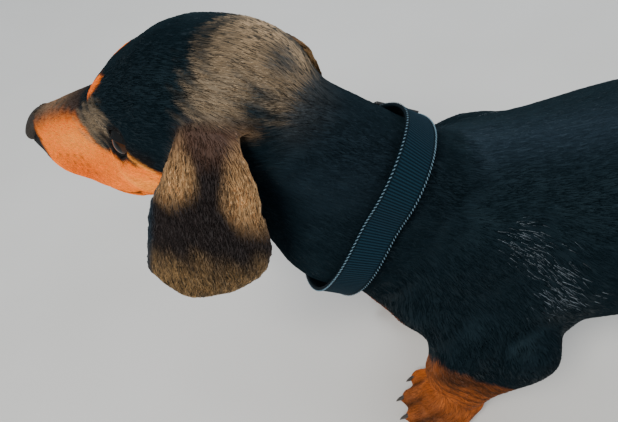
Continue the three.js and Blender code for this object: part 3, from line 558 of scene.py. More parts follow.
def face_markings_and_light(points, shares):
    """The shades of the face, from the lowest to the topmost, and their shares; some are painted light
    and shade.
    """
    side = mirrored(on_head(points))
    x, y, z = side.T
    top = np.interp(x, TAN_EDGE[:, 0], TAN_EDGE[:, 2])
    to_edge = along_line(TAN_EDGE, side * (1, 0, 1))[0]
    inside = np.where(z < top, to_edge, -to_edge)
    inside += 0.5 * np.sin(0.8 * x + 0.5 * y) * np.cos(0.7 * z)
    softness = np.interp(x, [20, 60, 74], [5.0, 3.6, 1.8])
    muzzle = step(-softness, softness, inside) * step(146, 134, x)
    fading = bump(inside + 3.5, 3.5) * step(72, 62, x)
    ragged = 0.18 * np.sin(0.9 * x + 0.7 * z) + 0.14 * np.sin(1.7 * y - 0.6 * x)
    pips = step(1.35, 0.75, to_spot(side, "pip") + 0.5 * ragged)
    throat = step(-30, -36, z) * step(132, 120, x) * (y < 36)
    tan = np.maximum(np.maximum(muzzle, pips), throat)
    light = soft_spot(side, "lip") + soft_spot(side, "cheek")
    whiskers = sum(bump(np.hypot(x - sx, z - sz), 1.0) for sx, sz in WHISKER_SPOTS) * (y > 8)
    # The brow's khaki: grizzled hair, partly painted sunlight on the hair over the eye
    grizzled_and_sunlit_brow = np.maximum(step(1.25, 0.35, to_spot(side, "grizzled_and_sunlit_brow") + ragged),
                      0.8 * step(1.4, 0.2, to_spot(side, "over_eye") + ragged))
    liner = step(15.0, 12.6, to_eye(side))
    # Near-black behind the eye: partly black hair, partly painted shade under the brow
    patch = bump(along_line(EYE_PATCH_AND_SHADE, side)[0], 4.6) * step(-1, 2, z - top)
    # Light tan on the cheek's fold: tan hair, partly a painted highlight on the fold's lit rim
    tan_and_lit_streak = bump(along_line(TAN_AND_LIT_STREAK, side)[0], 1.3)
    lips = bump(along_line(MOUTH_LINE, side)[0], 1.5) * step(-0.5, 0.5, 90 - x)
    bed = step(24, 21, x + 0.35 * np.abs(z))
    # The crown's khaki: sun-bleached hair, partly painted sunlight
    bleached_and_sunlit_crown = sum(step(1.7, 0.1, to_spot(side, "crown_" + part) + 1.4 * ragged)
                for part in ("side", "top", "back"))
    layers = [
        # The poll's pale grey is painted sheen
        ("mist_sheen", 0.4 * soft_spot(side, "poll_sheen")),
        # The hollow behind the ear stays black as painted shade
        ("khaki", 0.8 * np.clip(bleached_and_sunlit_crown, 0, 1) * (1 - soft_spot(side, "shaded_hollow"))),
        ("rust", 0.5 * fading), ("tan", tan), ("light_tan", 0.6 * tan * light),
        ("deep_tan", 0.8 * tan * soft_spot(side, "chin")), ("leather", 0.6 * np.clip(whiskers, 0, 1)),
        ("khaki", 0.55 * grizzled_and_sunlit_brow * (1 - pips)), ("leather", 0.95 * patch), ("light_tan", 0.8 * tan_and_lit_streak),
        ("leather", np.maximum(liner, np.maximum(lips, bed))),
        ("khaki", 0.35 * soft_spot(side, "bridge")),
    ]
    return [(shade, share * node_is(shares, "head")) for shade, share in layers]


def body_markings_and_light(points, shares):
    """The shades of the body, from the lowest to the topmost, and their shares; some are painted sheen
    and shade.
    """
    dog = on_dog(points)
    body = mirrored(dog)
    x, y, z = body.T
    torso, foreleg, neck = [node_is(shares, name) for name in ("torso", "foreleg", "neck")]
    ripple = 2 * np.sin(0.13 * x + 0.2 * z) + 1.5 * np.sin(0.31 * z - 0.17 * y)
    ripple += np.sin(0.7 * x + 0.5 * y)
    fore_edge = np.interp(x, [-36, -15, -2, 10, 40], [101, 96, 79, 77, 64])
    fore_edge -= 1.2 * np.clip(66 - y, 0, 15) * step(-15, -28, x)
    fore = step(5, -5, z - fore_edge + ripple)
    inner_fore = step(4, -4, y - 48 + 0.2 * ripple) * step(112, 96, z)
    hind = step(6, -6, z - 62 + 0.55 * (x - 352) + ripple)
    inner_hind = step(5, -5, y - 40 + 0.3 * ripple) * step(130, 110, z)
    chest = step(1.25, 0.85, to_spot(body, "chest") + 0.03 * ripple)
    vent = step(1.2, 0.85, to_spot(body, "vent"))
    under_tail = step(-3, -7, z - (190 - 0.24 * (x - 318))) * step(430, 380, x)
    tan = np.maximum(fore, inner_fore) * foreleg + fore * torso * step(40, 46, y)
    tan += np.maximum(hind, inner_hind) * node_is(shares, "hindleg")
    tan += np.maximum(chest, vent) * torso + under_tail * node_is(shares, "tail")
    tan = np.clip(tan, 0, 1)
    patchy = 0.5 + 0.5 * np.sin(0.11 * dog[:, 0] + 0.07 * dog[:, 1]) * np.sin(0.09 * dog[:, 2] + 0.4)
    # Painted sheen of sunlit hair on the nape
    nape_sheen = soft_spot(dog, "nape_sheen") * neck
    # Painted blue sheen along the spine
    spine_sheen = bump(y, 18) * step(190, 205, z) * torso
    # Painted shade between the toes
    shade_between_toes = step(30, 12, z) * (0.5 + 0.5 * np.cos(2 * math.pi * (y - 52) / 14.5)) ** 3
    sleeve = bump(z - fore_edge + ripple + 4, 15) * foreleg
    # Painted blue sheen on the side of the neck
    neck_side_sheen = soft_spot(body, "neck_side_sheen") * neck
    strands = step(0.1, 0.9, np.sin(0.75 * x + 0.64 * z + 1.5 * np.sin(0.3 * y)))
    strands *= step(60, 76, y) * foreleg
    # The body's tan, darker than the face's as painted shade
    return [("mist_sheen", 0.75 * nape_sheen), ("slate_sheen", 0.6 * spine_sheen), ("slate_sheen", 0.3 * neck_side_sheen), ("leg_tan", tan),
            ("tan", 0.25 * tan * patchy), ("umber", 0.7 * tan * strands),
            ("umber", 0.75 * tan * sleeve), ("umber", 0.8 * tan * shade_between_toes)]


def ear_markings_and_light(points, shares):
    """Rust, strongest at the fold; golden patches and a brownish lower edge, partly painted sunlight;
    and a painted blue-grey highlight on the front rim.
    """
    layers = []
    x, _, z = on_dog(points).T
    mottle = np.sin(0.19 * x + 1.3) * np.sin(0.16 * z) + 0.6 * np.sin(0.41 * x)
    for name, side in SIDES.items():
        own = node_is(shares, "ear_" + name)
        down, across = ear_place(points, side)
        front, rear = [step(1.6, 0.3, to_spot(rows_of(down, across), spot) + 0.15 * mottle)
                       for spot in ("ear_front", "ear_rear")]
        # Golden patches: sun-bleached hair, partly painted sunlight
        patches = np.clip(front + rear, 0, 1) * (0.82 + 0.14 * mottle)
        # The brownish lower edge: partly painted sunlight
        low = step(62, 100, down + 5 * mottle)
        fold = step(18, 4, down)
        # A painted blue-grey highlight along the ear's front rim
        rim = step(-0.82, -0.95, across) * step(4, 16, down)
        layers += [("rust", own * (0.3 + 0.6 * fold)), ("gold_and_sunlight", own * 0.9 * patches),
                   ("brown_and_sunlight", own * 0.85 * low), ("slate_sheen", own * 0.9 * rim)]
    return layers


def coat_colours(points, shares):
    """The colour of the coat at points, painted light and shade included, and how far dark hairs are
    mixed in there.
    """
    colours = np.tile(BLACK_WITH_BLUE_SHEEN, (len(points), 1))
    mixed = np.zeros(len(points))
    for markings_and_light in (body_markings_and_light, ear_markings_and_light, face_markings_and_light):
        for shade, share in markings_and_light(points, shares):
            colours += share[:, None] * (np.array(SHADES[shade]) - colours)
            mixed += share * ((shade in MIXED) - mixed)
    return np.clip(colours, 0, 1), mixed


def pale_hair_and_glint_share(points):
    return 0.4 * bump(along_line(PALE_HAIR_AND_GLINT_LINE, mirrored(on_dog(points)))[0], 9.5)


# The lie of the coat

LIE_PASSES = 40


def along_skin(directions, normals):
    """The directions laid flat on the skin."""
    return unit(directions - normals * np.sum(directions * normals, axis=1, keepdims=True))


def lie_of_coat(points, normals, edges, shares):
    _, head_y, head_z = on_head(points).T
    x, _, z = on_dog(points).T
    turn = np.array(HEAD)[:3, :3] / HEAD_SCALE
    low_front = step(0, -60, x) * step(190, 150, z)
    flank = step(205, 120, z)
    shoulder = step(90, 35, x) * step(212, 190, z)
    regions = {
        "head": rows_of(1, 0.012 * head_y, -0.2 + 0.008 * head_z) @ turn.T,
        "ear": (-0.05, 0, -1),
        "neck": rows_of(0.8, 0, -0.5 - 0.8 * low_front),
        "torso": rows_of(1 - 0.9 * low_front - 0.2 * shoulder, 0,
                         -0.45 * flank - low_front - 0.7 * shoulder),
        "tail": (1, 0, -0.35),
        "foreleg": rows_of(0.25 + 0.6 * step(115, 80, z), 0, -1),
        "hindleg": (0.25, 0, -1),
    }
    flow = sum(node_is(shares, name)[:, None] * direction for name, direction in regions.items())
    paws = node_is(shares, *PAWS) * step(32, 20, z)
    flow = unit(flow + paws[:, None] * (np.array([-1, 0, -0.35]) - flow))
    for _ in range(LIE_PASSES):
        flow = along_skin(neighbours_mean(flow, edges), normals)
    return flow


# The coat: thin closed blades, each with a ridge, that lie along the skin. For each kind of
# region: blades for each square millimetre, and their length, width and lift in millimetres.
COATS = {
    "head": (1.25, 5.0, 0.34, 0.45), "ear": (1.35, 6, 0.40, 0.45), "neck": (1.0, 8, 0.44, 0.4),
    "torso": (0.62, 9.5, 0.52, 0.35), "tail": (0.8, 10, 0.52, 0.7), "foreleg": (1.0, 6.5, 0.42, 0.45),
    "hindleg": (0.75, 7.5, 0.46, 0.5),
}
# How much lighter or darker than its place a hair may be
SPREAD = {"ear": 0.55, "foreleg": 0.5, "hindleg": 0.4}
OTHER_SPREAD = 0.3
# Of a blade: its faces, from two corners at the root, the ridge and the tip; the tone of each corner;
# where along it the ridge is; how deep the root is sunk; and the size of its patch of the unwrap
BLADE_FACES = np.array([[0, 1, 2], [0, 2, 3], [1, 3, 2], [0, 3, 1]])
BLADE_TONES = np.array([0.8, 0.8, 1, 1.2])
RIDGE_PLACE = 0.38
ROOT_DEPTH = 0.25 * MM
PATCH = 0.003
# The waves in which hairs wander from their lie, and how far they wander in them and by chance
WAVES = np.array([[0.11, -0.07, 0.19], [0.13, 0.16, -0.05], [0.17, 0.21, 0.12]])
IN_WAVES, BY_CHANCE = 0.2, 0.13
# How many of the hairs are dark where dark ones are mixed in, and how near to black
DARK = {"share": 0.36, "depth": 0.8}
# How near to silver the pale hairs are, and their width and length beside the others
PALE = {"depth": 0.75, "width": 0.55, "length": 0.75}


class Skin:
    def __init__(self, made, shares):
        self.points = points_of(made.data)
        self.triangles = triangles_of(made.data)
        self.normals = normals_of(self.points, self.triangles)
        self.node = np.argmax(shares, axis=1)
        self.flow = lie_of_coat(self.points, self.normals, edges_of(made.data), shares)
        self.colours, self.mixed = coat_colours(self.points, shares)
        self.growth = growth_of(self.points, shares)
        self.grows = 1.0 - is_bare(self.points, shares)
        self.tree = BVHTree.FromPolygons(self.points.tolist(), self.triangles.tolist())


def growth_of(points, shares):
    """The coat's density, length, width and lift: shortest on the muzzle and round the eyes, and
    longest behind the wrists."""
    x, _, z = on_dog(points).T
    face = np.interp(on_head(points)[:, 0], [0, 60, 110, 170], [0.42, 0.52, 0.75, 1.25])
    paw = np.interp(z, [0, 12, 30, 50], [0.55, 0.75, 1.0, 1.0])
    behind = step(-4, 12, x) * step(80, 50, z) * step(14, 26, z)
    on_face, on_legs = node_is(shares, "head"), node_is(shares, *PAWS)
    factor = 1 + on_face * (face - 1) + on_legs * (paw * (1 + 0.5 * behind) - 1)
    return shares @ by_kind(COATS) * rows_of(1 / factor, factor, np.sqrt(factor), factor)


def is_bare(points, shares):
    """Where no hair grows: the eyes' openings, the nose's bed, the mouth and the soles."""
    side = mirrored(on_head(points))
    x, y, z = side.T
    eye = to_eye(side) < EYE_RADIUS + 1.5
    nose = (x < 21 - 0.2 * z) & (z > -13) & (y < 14)
    mouth = along_line(MOUTH_LINE, side)[0] < 1.3
    soles = (node_is(shares, *PAWS) > 0.5) & (on_dog(points)[:, 2] < 1.5)
    return (eye | nose | mouth) & (node_is(shares, "head") > 0.5) | soles


def unwrapped(points):
    """A place on the region's own unwrap: round its long axis, and along it."""
    low, high = points.min(axis=0), points.max(axis=0)
    size = high - low
    long = int(np.argmax(size))
    first, second = [k for k in range(3) if k != long]
    centre = (low + high) / 2
    angle = np.arctan2(points[:, second] - centre[second], points[:, first] - centre[first])
    across = 0.02 + 0.96 * (angle / (2 * math.pi) + 0.5)
    along = 0.02 + 0.96 * (points[:, long] - low[long]) / size[long]
    return rows_of(across, along)


def scattered(skin, chosen):
    """Random places on the chosen triangles, as a triangle's corners and their shares."""
    triangles = skin.triangles[chosen]
    area = norm(doubled_areas(skin.points, triangles)) / 2
    density = skin.growth[triangles, 0].mean(axis=1)
    expected = np.cumsum(area / MM ** 2 * density)
    count = int(expected[-1])
    picked = np.searchsorted(expected, dice.random(count) * expected[-1])
    a, b = dice.random((2, count))
    over = a + b > 1
    a[over], b[over] = 1 - a[over], 1 - b[over]
    return triangles[picked], rows_of(1 - a - b, a, b)


def over_skin(skin, points, height):
    hits = map(skin.tree.find_nearest, points)
    landed = np.array([(*hit[0], *hit[1]) for hit in hits])
    return landed[:, :3] + landed[:, 3:] * height


def make_coat(name, skin, chosen):
    corner, shares = scattered(skin, chosen)
    grows = np.einsum("nk,nk->n", shares, skin.grows[corner]) > 0.5
    corner, shares = corner[grows], shares[grows]
    roots, normals, flow, colours, growth, mixed = [
        np.einsum("nk,nk...->n...", shares, values[corner])
        for values in (skin.points, skin.normals, skin.flow, skin.colours, skin.growth, skin.mixed)]
    normals = unit(normals)
    flow = along_skin(flow, normals)
    count = len(roots)
    across = np.cross(normals, flow)
    waves = np.sin(on_dog(roots) @ WAVES)
    wander = dice.normal(0, BY_CHANCE, count) + IN_WAVES * waves.prod(axis=1)
    flow, across = flow + wander[:, None] * across, across - wander[:, None] * flow
    own = dice.uniform(0.7, 1.25, count)
    reach = (growth[:, 1] * MM * own)[:, None]
    half = (growth[:, 2] * MM / 2 * np.sqrt(own) * dice.uniform(0.75, 1.3, count))[:, None]
    rise = (growth[:, 3] * MM * own * dice.uniform(0.5, 1.3, count))[:, None]
    dark = dice.random(count) < DARK["share"] * mixed
    colours[dark] += DARK["depth"] * (np.array(BLACK_WITH_BLUE_SHEEN) - colours[dark])
    # Pale hairs on the shoulder, partly painted glints of sunlit hair tips
    pale = dice.random(count) < pale_hair_and_glint_share(roots)
    colours[pale] += PALE["depth"] * (np.array(SHADES["silver"]) - colours[pale])
    half[pale] *= PALE["width"]
    reach[pale] *= PALE["length"]
    tips = over_skin(skin, roots + flow * reach, 0.5 * rise)
    ridge = over_skin(skin, roots + flow * reach * RIDGE_PLACE, 0.7 * rise + 0.5 * half)
    sunk = roots - normals * ROOT_DEPTH
    points = np.stack([sunk - across * half, sunk + across * half, ridge, tips], 1).reshape(-1, 3)
    faces = (BLADE_FACES[None] + 4 * np.arange(count)[:, None, None]).reshape(-1, 3)
    coat = mesh_from(name, points, faces, smooth=False)
    spread = SPREAD.get(name.split("_")[1], OTHER_SPREAD)
    vary = dice.uniform(1 - spread, 1 + spread, count)[:, None, None] * BLADE_TONES[:, None]
    set_colour(coat, np.clip(colours[:, None] * vary, 0, 1).reshape(-1, 3))
    place_patches(coat, unwrapped(roots), faces)
    return coat


def place_patches(coat, places, faces):
    """Each blade's own small patch of the unwrap, about its root."""
    offsets = PATCH * np.array([[-0.5, -0.5], [0.5, -0.5], [0, 0], [0, 0.5]])
    uv = (places[:, None, :] + offsets[None]).reshape(-1, 2)
    layer = coat.data.uv_layers.new(name="OFBake")
    layer.data.foreach_set("uv", uv[faces.ravel()].astype(np.float32).ravel())


def make_coats(skin):
    """A coat for each solid of flesh; those of head and torso are parted down the middle."""
    hair = hair_material()
    owner = skin.node[skin.triangles[:, 0]]
    centres = skin.points[skin.triangles].mean(axis=1)
    on_left = {"head": on_head(centres)[:, 1] < 0, "torso": centres[:, 1] < 0}
    for index, node in enumerate(FLESH):
        kind = node.split("_")[0]
        halves = {"": owner == index}
        if kind in on_left:
            left = on_left[kind]
            halves = {"_left": (owner == index) & left, "_right": (owner == index) & ~left}
        for end, chosen in halves.items():
            coat = make_coat("coat_" + node + end, skin, chosen)
            finish_piece(coat, hair, "coat_tan" if kind.endswith("leg") else "coat_black")


# The eyes and the rims of the lids

# How far the cornea bulges, and how far from the gaze, in radians
CORNEA = {"bulge": 0.55, "reach": 0.5}


def make_eye(name, side):
    gaze, along, up = eye_axes(side)
    centre = centre_of_eye(side)
    polar = np.linspace(0, math.pi, 48)[:, None]
    turn = np.linspace(0, 2 * math.pi, 64, endpoint=False)[None]
    radius = EYE_RADIUS - 0.1 + CORNEA["bulge"] * bump(polar, CORNEA["reach"])
    across = [np.sin(polar) * np.cos(turn), np.sin(polar) * np.sin(turn), np.cos(polar) + 0 * turn]
    points = sum((radius * part)[..., None] * axis for part, axis in zip(across, (along, up, gaze)))
    points = through(HEAD, centre + points.reshape(-1, 3))
    eye = mesh_from("dressed_eye_" + name, points, grid_faces(len(polar), turn.size))
    set_value(eye, "off_gaze", np.repeat(polar.ravel() / math.pi, turn.size))
    return eye


# A lid's section, from its rim outwards: how far it stands off the ball, how far it reaches over it
# and how thick it is
LID_OUT = [0, 0.05, 0.14, 0.3, 1]
LID_STAND = [0.25, 0.6, 0.75, 0.55, 0.3]
LID_REACH = {"along": 0.9, "up": 4.6, "thickness": 0.6}


def make_lids(name, side):
    """A ring of skin that lies close over the ball, with a rounded rim at its opening."""
    gaze, along, up = eye_axes(side)
    turn = np.linspace(0, 2 * math.pi, 120, endpoint=False)[:, None]
    out = np.linspace(0, 1, 12)
    section = np.concatenate([out, out[::-1]])
    stand = np.interp(section, LID_OUT, LID_STAND)
    stand[len(out):] -= LID_REACH["thickness"]
    u = np.cos(turn)
    x = u * (ALMOND["half_width"] + LID_REACH["along"] * section)
    y = np.sign(np.sin(turn)) * almond_edge(u) + np.sin(turn) * LID_REACH["up"] * section
    shell = EYE_RADIUS + stand
    ahead = np.sqrt(np.clip(shell ** 2 - x ** 2 - y ** 2, 1, None))
    points = centre_of_eye(side) + x[..., None] * along + y[..., None] * up + ahead[..., None] * gaze
    points = through(HEAD, points.reshape(-1, 3))
    return mesh_from("lids_" + name, points, grid_faces(*x.shape, closed=True))


# How far the top of the nose is lowered at its tip
NOSE_SLOPE = 3.4


def make_nose():
    points, triangles = welded("nose")
    nose = mesh_from("dressed_nose", points, triangles)
    mesh = remeshed(nose, 0.5 * MM)
    points, edges = points_of(mesh), edges_of(mesh)
    points = on_head(relaxed(points, edges, np.ones(len(points)), *NOSE_SMOOTHING))
    points[:, 2] -= NOSE_SLOPE * step(-2, 9, points[:, 2]) * step(20, 4, points[:, 0])
    set_points(mesh, through(HEAD, points))
    return nose


# From a toe's tip to the claw's root, from there to its tip, and how far it arches between them
CLAW = {"root": np.array([-3, 0, 1.6]), "reach": (-7.8, 0, -5.4), "arch": (-1.5, 0, 4.5)}


def make_claws():
    t = np.linspace(0, 1, 14)
    path = (t[:, None] * CLAW["reach"] + (t * (1 - t))[:, None] * CLAW["arch"]) * MM
    radii = 2.3 * MM * (1 - t ** 1.7) ** 0.8 + 0.12 * MM
    claws = [tube(tip + CLAW["root"] * MM + path, radii, (0, 0, 1), 12, squash=0.72)
             for tip, _ in all_toes()]
    return mesh_from("claws", *joined(claws))


# The collar: its stations are read from the band's solid, by their angle round the neck
COLLAR_CENTRE = np.array([-52, -9, 200.0])
COLLAR_AXIS = unit(np.array([0.845, -0.27, -0.46]))
# Stations at an angle below this one come last, behind the gap in the band
FIRST_ANGLE = -85
# The webbing: its ribs, its rise at the bound edges, and its heights at the rim, above and below
RIB_PITCH, RIB_RISE, BINDING_RISE = 1.6, 0.12, 0.10
RIM, ABOVE, BELOW = 0.5, 0.86, 0.12
# The stitches: their spacing, half length and radius, and their place and slant across the band
STITCH = {"pitch": 2.0, "half": 0.75, "radius": 0.32, "place": 0.93, "slant": 0.055, "height": 1.08}


def collar_stations():
    """The band's four corners, angle by angle: front and rear of its inner and outer sides."""
    offset = on_dog(welded("collar_band")[0]) - COLLAR_CENTRE
    up = unit((0, 0, 1) - COLLAR_AXIS * COLLAR_AXIS[2])
    angle = np.degrees(np.arctan2(offset @ np.cross(COLLAR_AXIS, up), offset @ up))
    order = np.argsort(np.where(angle < FIRST_ANGLE, angle + 360, angle))
    rows = []
    for corners in offset[order].reshape(-1, 4, 3):
        place = corners @ COLLAR_AXIS
        reach = norm(corners - place[:, None] * COLLAR_AXIS)
        by_place = np.argsort(place)
        inner, outer = zip(*(sorted(pair, key=reach.item) for pair in (by_place[:2], by_place[2:])))
        rows.append(corners[[*inner, *outer]])
    return np.array(rows) + COLLAR_CENTRE


def curved(rows, places):
    """A smooth curve through rows of points, at places counted in rows."""
    last = len(rows) - 1
    i = np.clip(places.astype(int), 0, last - 1)
    t = (places - i).reshape(-1, *[1] * (rows.ndim - 1))
    before, after = rows[np.maximum(i - 1, 0)], rows[np.minimum(i + 2, last)]
    a, b = rows[i], rows[i + 1]
    return 0.5 * (2 * a + (b - before) * t + (2 * before - 5 * a + 4 * b - after) * t ** 2
                  + (3 * a - before - 3 * b + after) * t ** 3)


class Band:
    """The collar's band as a surface: length along it, place across it and height over it."""

    def __init__(self):
        rows = collar_stations()
        fine = curved(rows, np.linspace(0, len(rows) - 1, 1200))
        lengths = norm(np.diff(fine.mean(axis=1), axis=0))
        self.lengths = np.concatenate([[0], np.cumsum(lengths)])
        self.rows = fine

    def at(self, lengths, across, height):
        """Across runs from -1 in front to 1 behind; height is 0 inside and 1 outside."""
        corners = np.stack([np.interp(lengths, self.lengths, self.rows[:, k, d])
                            for k in range(4) for d in range(3)], -1).reshape(*lengths.shape, 4, 3)
        s = (across[..., None] + 1) / 2
        inner = corners[..., 0, :] * (1 - s) + corners[..., 1, :] * s
        outer = corners[..., 2, :] * (1 - s) + corners[..., 3, :] * s
        return inner + (outer - inner) * height[..., None]


def make_webbing(band):
    total = band.lengths[-1]
    count = int(total / RIB_PITCH) * 4
    lengths = np.linspace(0, total, count)
    top = np.linspace(-0.97, 0.97, 19)
    below = np.concatenate([[1], top[::-1][1::3], [-1]])
    across = np.concatenate([[-1], top, [1], below])
    height = np.repeat([RIM, ABOVE, RIM, BELOW], [1, len(top), 1, len(below)])
    outside = height == ABOVE
    grid_length, grid_across = np.meshgrid(lengths, across, indexing="ij")
    rib = 0.5 + 0.5 * np.cos(2 * math.pi * grid_length / RIB_PITCH)
    field = step(0.84, 0.74, np.abs(grid_across)) * outside
    bound = step(0.78, 0.86, np.abs(grid_across)) * outside
    grid_height = height[None] + RIB_RISE * rib * field + BINDING_RISE * bound
    points = band.at(grid_length, grid_across, grid_height)
    faces = grid_faces(*grid_length.shape)[:, [0, 3, 2, 1]]
    webbing = mesh_from("collar_webbing", from_dog(points.reshape(-1, 3)), faces)
    # The rib share also colours the webbing: lighter crests, darker grooves, bound edges and inside, as
    # painted highlight and shade
    set_value(webbing, "rib", rib * field)
    return webbing


def make_stitches(band):
    parts = []
    t = np.linspace(-1, 1, 6)
    radii = STITCH["radius"] * MM * np.sqrt(np.clip(1.02 - t ** 2, 0.02, None))
    for edge in (-1, 1):
        for start in np.arange(2, band.lengths[-1] - 2, STITCH["pitch"]):
            lengths = start + STITCH["half"] * t
            across = edge * (STITCH["place"] + STITCH["slant"] * t)
            path, below = [from_dog(band.at(lengths, across, np.full(6, height)))
                           for height in (STITCH["height"], 0.0)]
            parts.append(tube(path, radii, unit(path - below), 6))
    return mesh_from("collar_stitches", *joined(parts))


# Materials

class Finish:
    def __init__(self, name, roughness, **sockets):
        self.material = bpy.data.materials.new(name)
        self.material.use_nodes = True
        self.nodes = self.material.node_tree.nodes
        self.links = self.material.node_tree.links
        self.shader = self.nodes["Principled BSDF"]
        self.shader.inputs["Roughness"].default_value = roughness
        for socket, value in sockets.items():
            self.shader.inputs[socket.replace("_", " ")].default_value = value

    def node(self, kind, **inputs):
        made = self.nodes.new("ShaderNode" + kind)
        for name, value in inputs.items():
            if isinstance(value, bpy.types.NodeSocket):
                self.links.new(value, made.inputs[name])
            else:
                made.inputs[name].default_value = value
        return made

    def attribute(self, name, output="Fac"):
        node = self.node("Attribute")
        node.attribute_name = name
        return node.outputs[output]

    def place(self, stretch=(1, 1, 1)):
        place = self.node("TexCoord").outputs["Object"]
        return self.node("Mapping", Scale=stretch, Vector=place).outputs["Vector"]

    def noise(self, scale, detail, stretch=(1, 1, 1)):
        node = self.node("TexNoise", Scale=scale, Detail=detail, Vector=self.place(stretch))
        return node.outputs["Fac"]

    def cells(self, scale):
        return self.node("TexVoronoi", Scale=scale, Vector=self.place()).outputs["Distance"]

    def ramp(self, share, stops):
        """A colour by a share from 0 to 1; stops are pairs of a place and a colour."""
        node = self.node("ValToRGB", Fac=share)
        elements = node.color_ramp.elements
        while len(elements) < len(stops):
            elements.new(0.5)
        for element, (place, colour) in zip(elements, stops):
            element.position = place
            element.color = (*colour, 1)
        return node.outputs["Color"]

    def times(self, colour, low, high, share):
        """A colour times low where the share is 0, and times high where it is 1."""
        mix = self.node("Mix")
        mix.data_type = "RGBA"
        mix.blend_type = "MULTIPLY"
        mix.inputs["Factor"].default_value = 1
        first, second = [s for s in mix.inputs if s.type == "RGBA"]
        self.links.new(colour, first)
        self.links.new(self.ramp(share, [(0, (low,) * 3), (1, (high,) * 3)]), second)
        return [s for s in mix.outputs if s.type == "RGBA"][0]

    def colour(self, socket):
        self.links.new(socket, self.shader.inputs["Base Color"])

    def relief(self, height, strength, distance):
        node = self.node("Bump", Strength=strength, Distance=distance, Height=height)
        self.links.new(node.outputs["Normal"], self.shader.inputs["Normal"])


# The tint of the light that the hair throws back
SHEEN = (0.5, 0.82, 1, 1)


def hair_material():
    finish = Finish("short_hair", 0.6, Specular_IOR_Level=0.16, Specular_Tint=SHEEN)
    finish.colour(finish.times(finish.attribute("coat", "Color"), 0.85, 1.15, finish.noise(260, 2)))
    return finish.material


def skin_material():
    finish = Finish("skin_under_the_coat", 0.62, Specular_IOR_Level=0.14, Specular_Tint=SHEEN)
    grain = finish.noise(1400, 3)
    finish.colour(finish.times(finish.attribute("coat", "Color"), 0.55, 1.2, grain))
    finish.relief(grain, 0.4, 0.0006)
    return finish.material


def eye_material():
    finish = Finish("eye", 0.16, Specular_IOR_Level=0.12, Coat_Weight=0.04, Coat_Roughness=0.04)
    finish.colour(finish.times(finish.ramp(finish.attribute("off_gaze"), [
        (0.0, (0.002, 0.002, 0.002)), (0.105, (0.002, 0.002, 0.002)), (0.12, (0.030, 0.011, 0.004)),
        (0.22, (0.045, 0.017, 0.006)), (0.30, (0.018, 0.007, 0.003)), (0.33, (0.004, 0.003, 0.002)),
        (0.37, (0.016, 0.011, 0.009)), (1.0, (0.03, 0.02, 0.016)),
    ]), 0.6, 1.4, finish.noise(900, 2)))
    return finish.material


def leather_material(name, colour, cell, roughness):
    finish = Finish(name, roughness, Specular_IOR_Level=0.14)
    pebbles = finish.cells(cell)
    finish.colour(finish.ramp(pebbles, [(0.1, tuple(0.6 * c for c in colour)), (0.7, colour)]))
    finish.relief(pebbles, 0.55, 0.0003)
    return finish.material


def webbing_material():
    finish = Finish("webbing", 0.75, Specular_IOR_Level=0.12, Specular_Tint=SHEEN)
    weave = finish.noise(2600, 2)
    # Lighter on the rib crests and darker in the grooves: painted highlight and shade
    ribs_lit_and_shaded = finish.ramp(finish.attribute("rib"), [(0.1, (0.0008, 0.0042, 0.0075)),
                                                 (1.0, (0.0068, 0.0245, 0.0400))])
    finish.colour(finish.times(ribs_lit_and_shaded, 0.6, 1.4, weave))
    finish.relief(weave, 0.5, 0.0003)
    return finish.material


# For each material whose colour and relief follow one grain: its roughness, the grain, the colours at
# two places of the grain, the relief, and other sockets
GRAINED = {
    "claw_horn": (
        0.3, (700, 3, (0.25, 1, 1)), [(0.3, (0.012, 0.010, 0.009)), (0.75, (0.055, 0.042, 0.032))],
        (0.2, 0.0002), {"Coat_Weight": 0.3, "Coat_Roughness": 0.2}),
    "stitching_thread": (
        0.6, (1800, 2), [(0.3, (0.04, 0.085, 0.115)), (0.75, (0.15, 0.25, 0.32))],
        (0.4, 0.0002), {"Specular_IOR_Level": 0.3}),
    "moulded_plastic": (
        0.42, (3000, 2), [(0.3, (0.009, 0.0095, 0.011)), (0.8, (0.02, 0.021, 0.023))],
        (0.3, 0.0001), {}),
    "polished_steel": (
        0.2, (400, 4), [(0.35, (0.42, 0.42, 0.41)), (0.7, (0.68, 0.68, 0.66))],
        (0.1, 0.0001), {"Metallic": 1.0}),
}


def grained_material(name):
    roughness, grain, stops, relief, sockets = GRAINED[name]
    finish = Finish(name, roughness, **sockets)
    noise = finish.noise(*grain)
    finish.colour(finish.ramp(noise, stops))
    finish.relief(noise, *relief)
    return finish.material


def dress_node(name, material, width):
    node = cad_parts[name]
    node.data.materials.clear()
    node.data.materials.append(material)
    weld = node.modifiers.new("Weld", "WELD")
    weld.merge_threshold = 0.01 * MM
    bevel = node.modifiers.new("Bevel", "BEVEL")
    bevel.width = width * MM
    bevel.segments = 3
    bevel.limit_method = "ANGLE"


# The stage, lights and camera

CAMERA = {"azimuth": 2.1, "elevation": 48.4, "roll": -10.7, "distance": 0.398, "lens": 38.8}
AIM_FROM_WITHERS = Vector((-93, 0, 183)) * MM
FLOOR_HALF = 3.0
# The lights' aim, and for each its place, power, size and colour
LIGHT_AIM = Vector((-0.05, 0, 0.18))
LIGHTS = {
    "key": ((-0.75, -0.9, 1.6), 34, 0.6, (1, 0.96, 0.9)),
    "back": ((0.3, 1.5, 1.3), 16, 0.9, (0.86, 0.93, 1)), "rim": ((1.5, -0.3, 1.0), 8, 0.8, (1, 1, 1)),
}


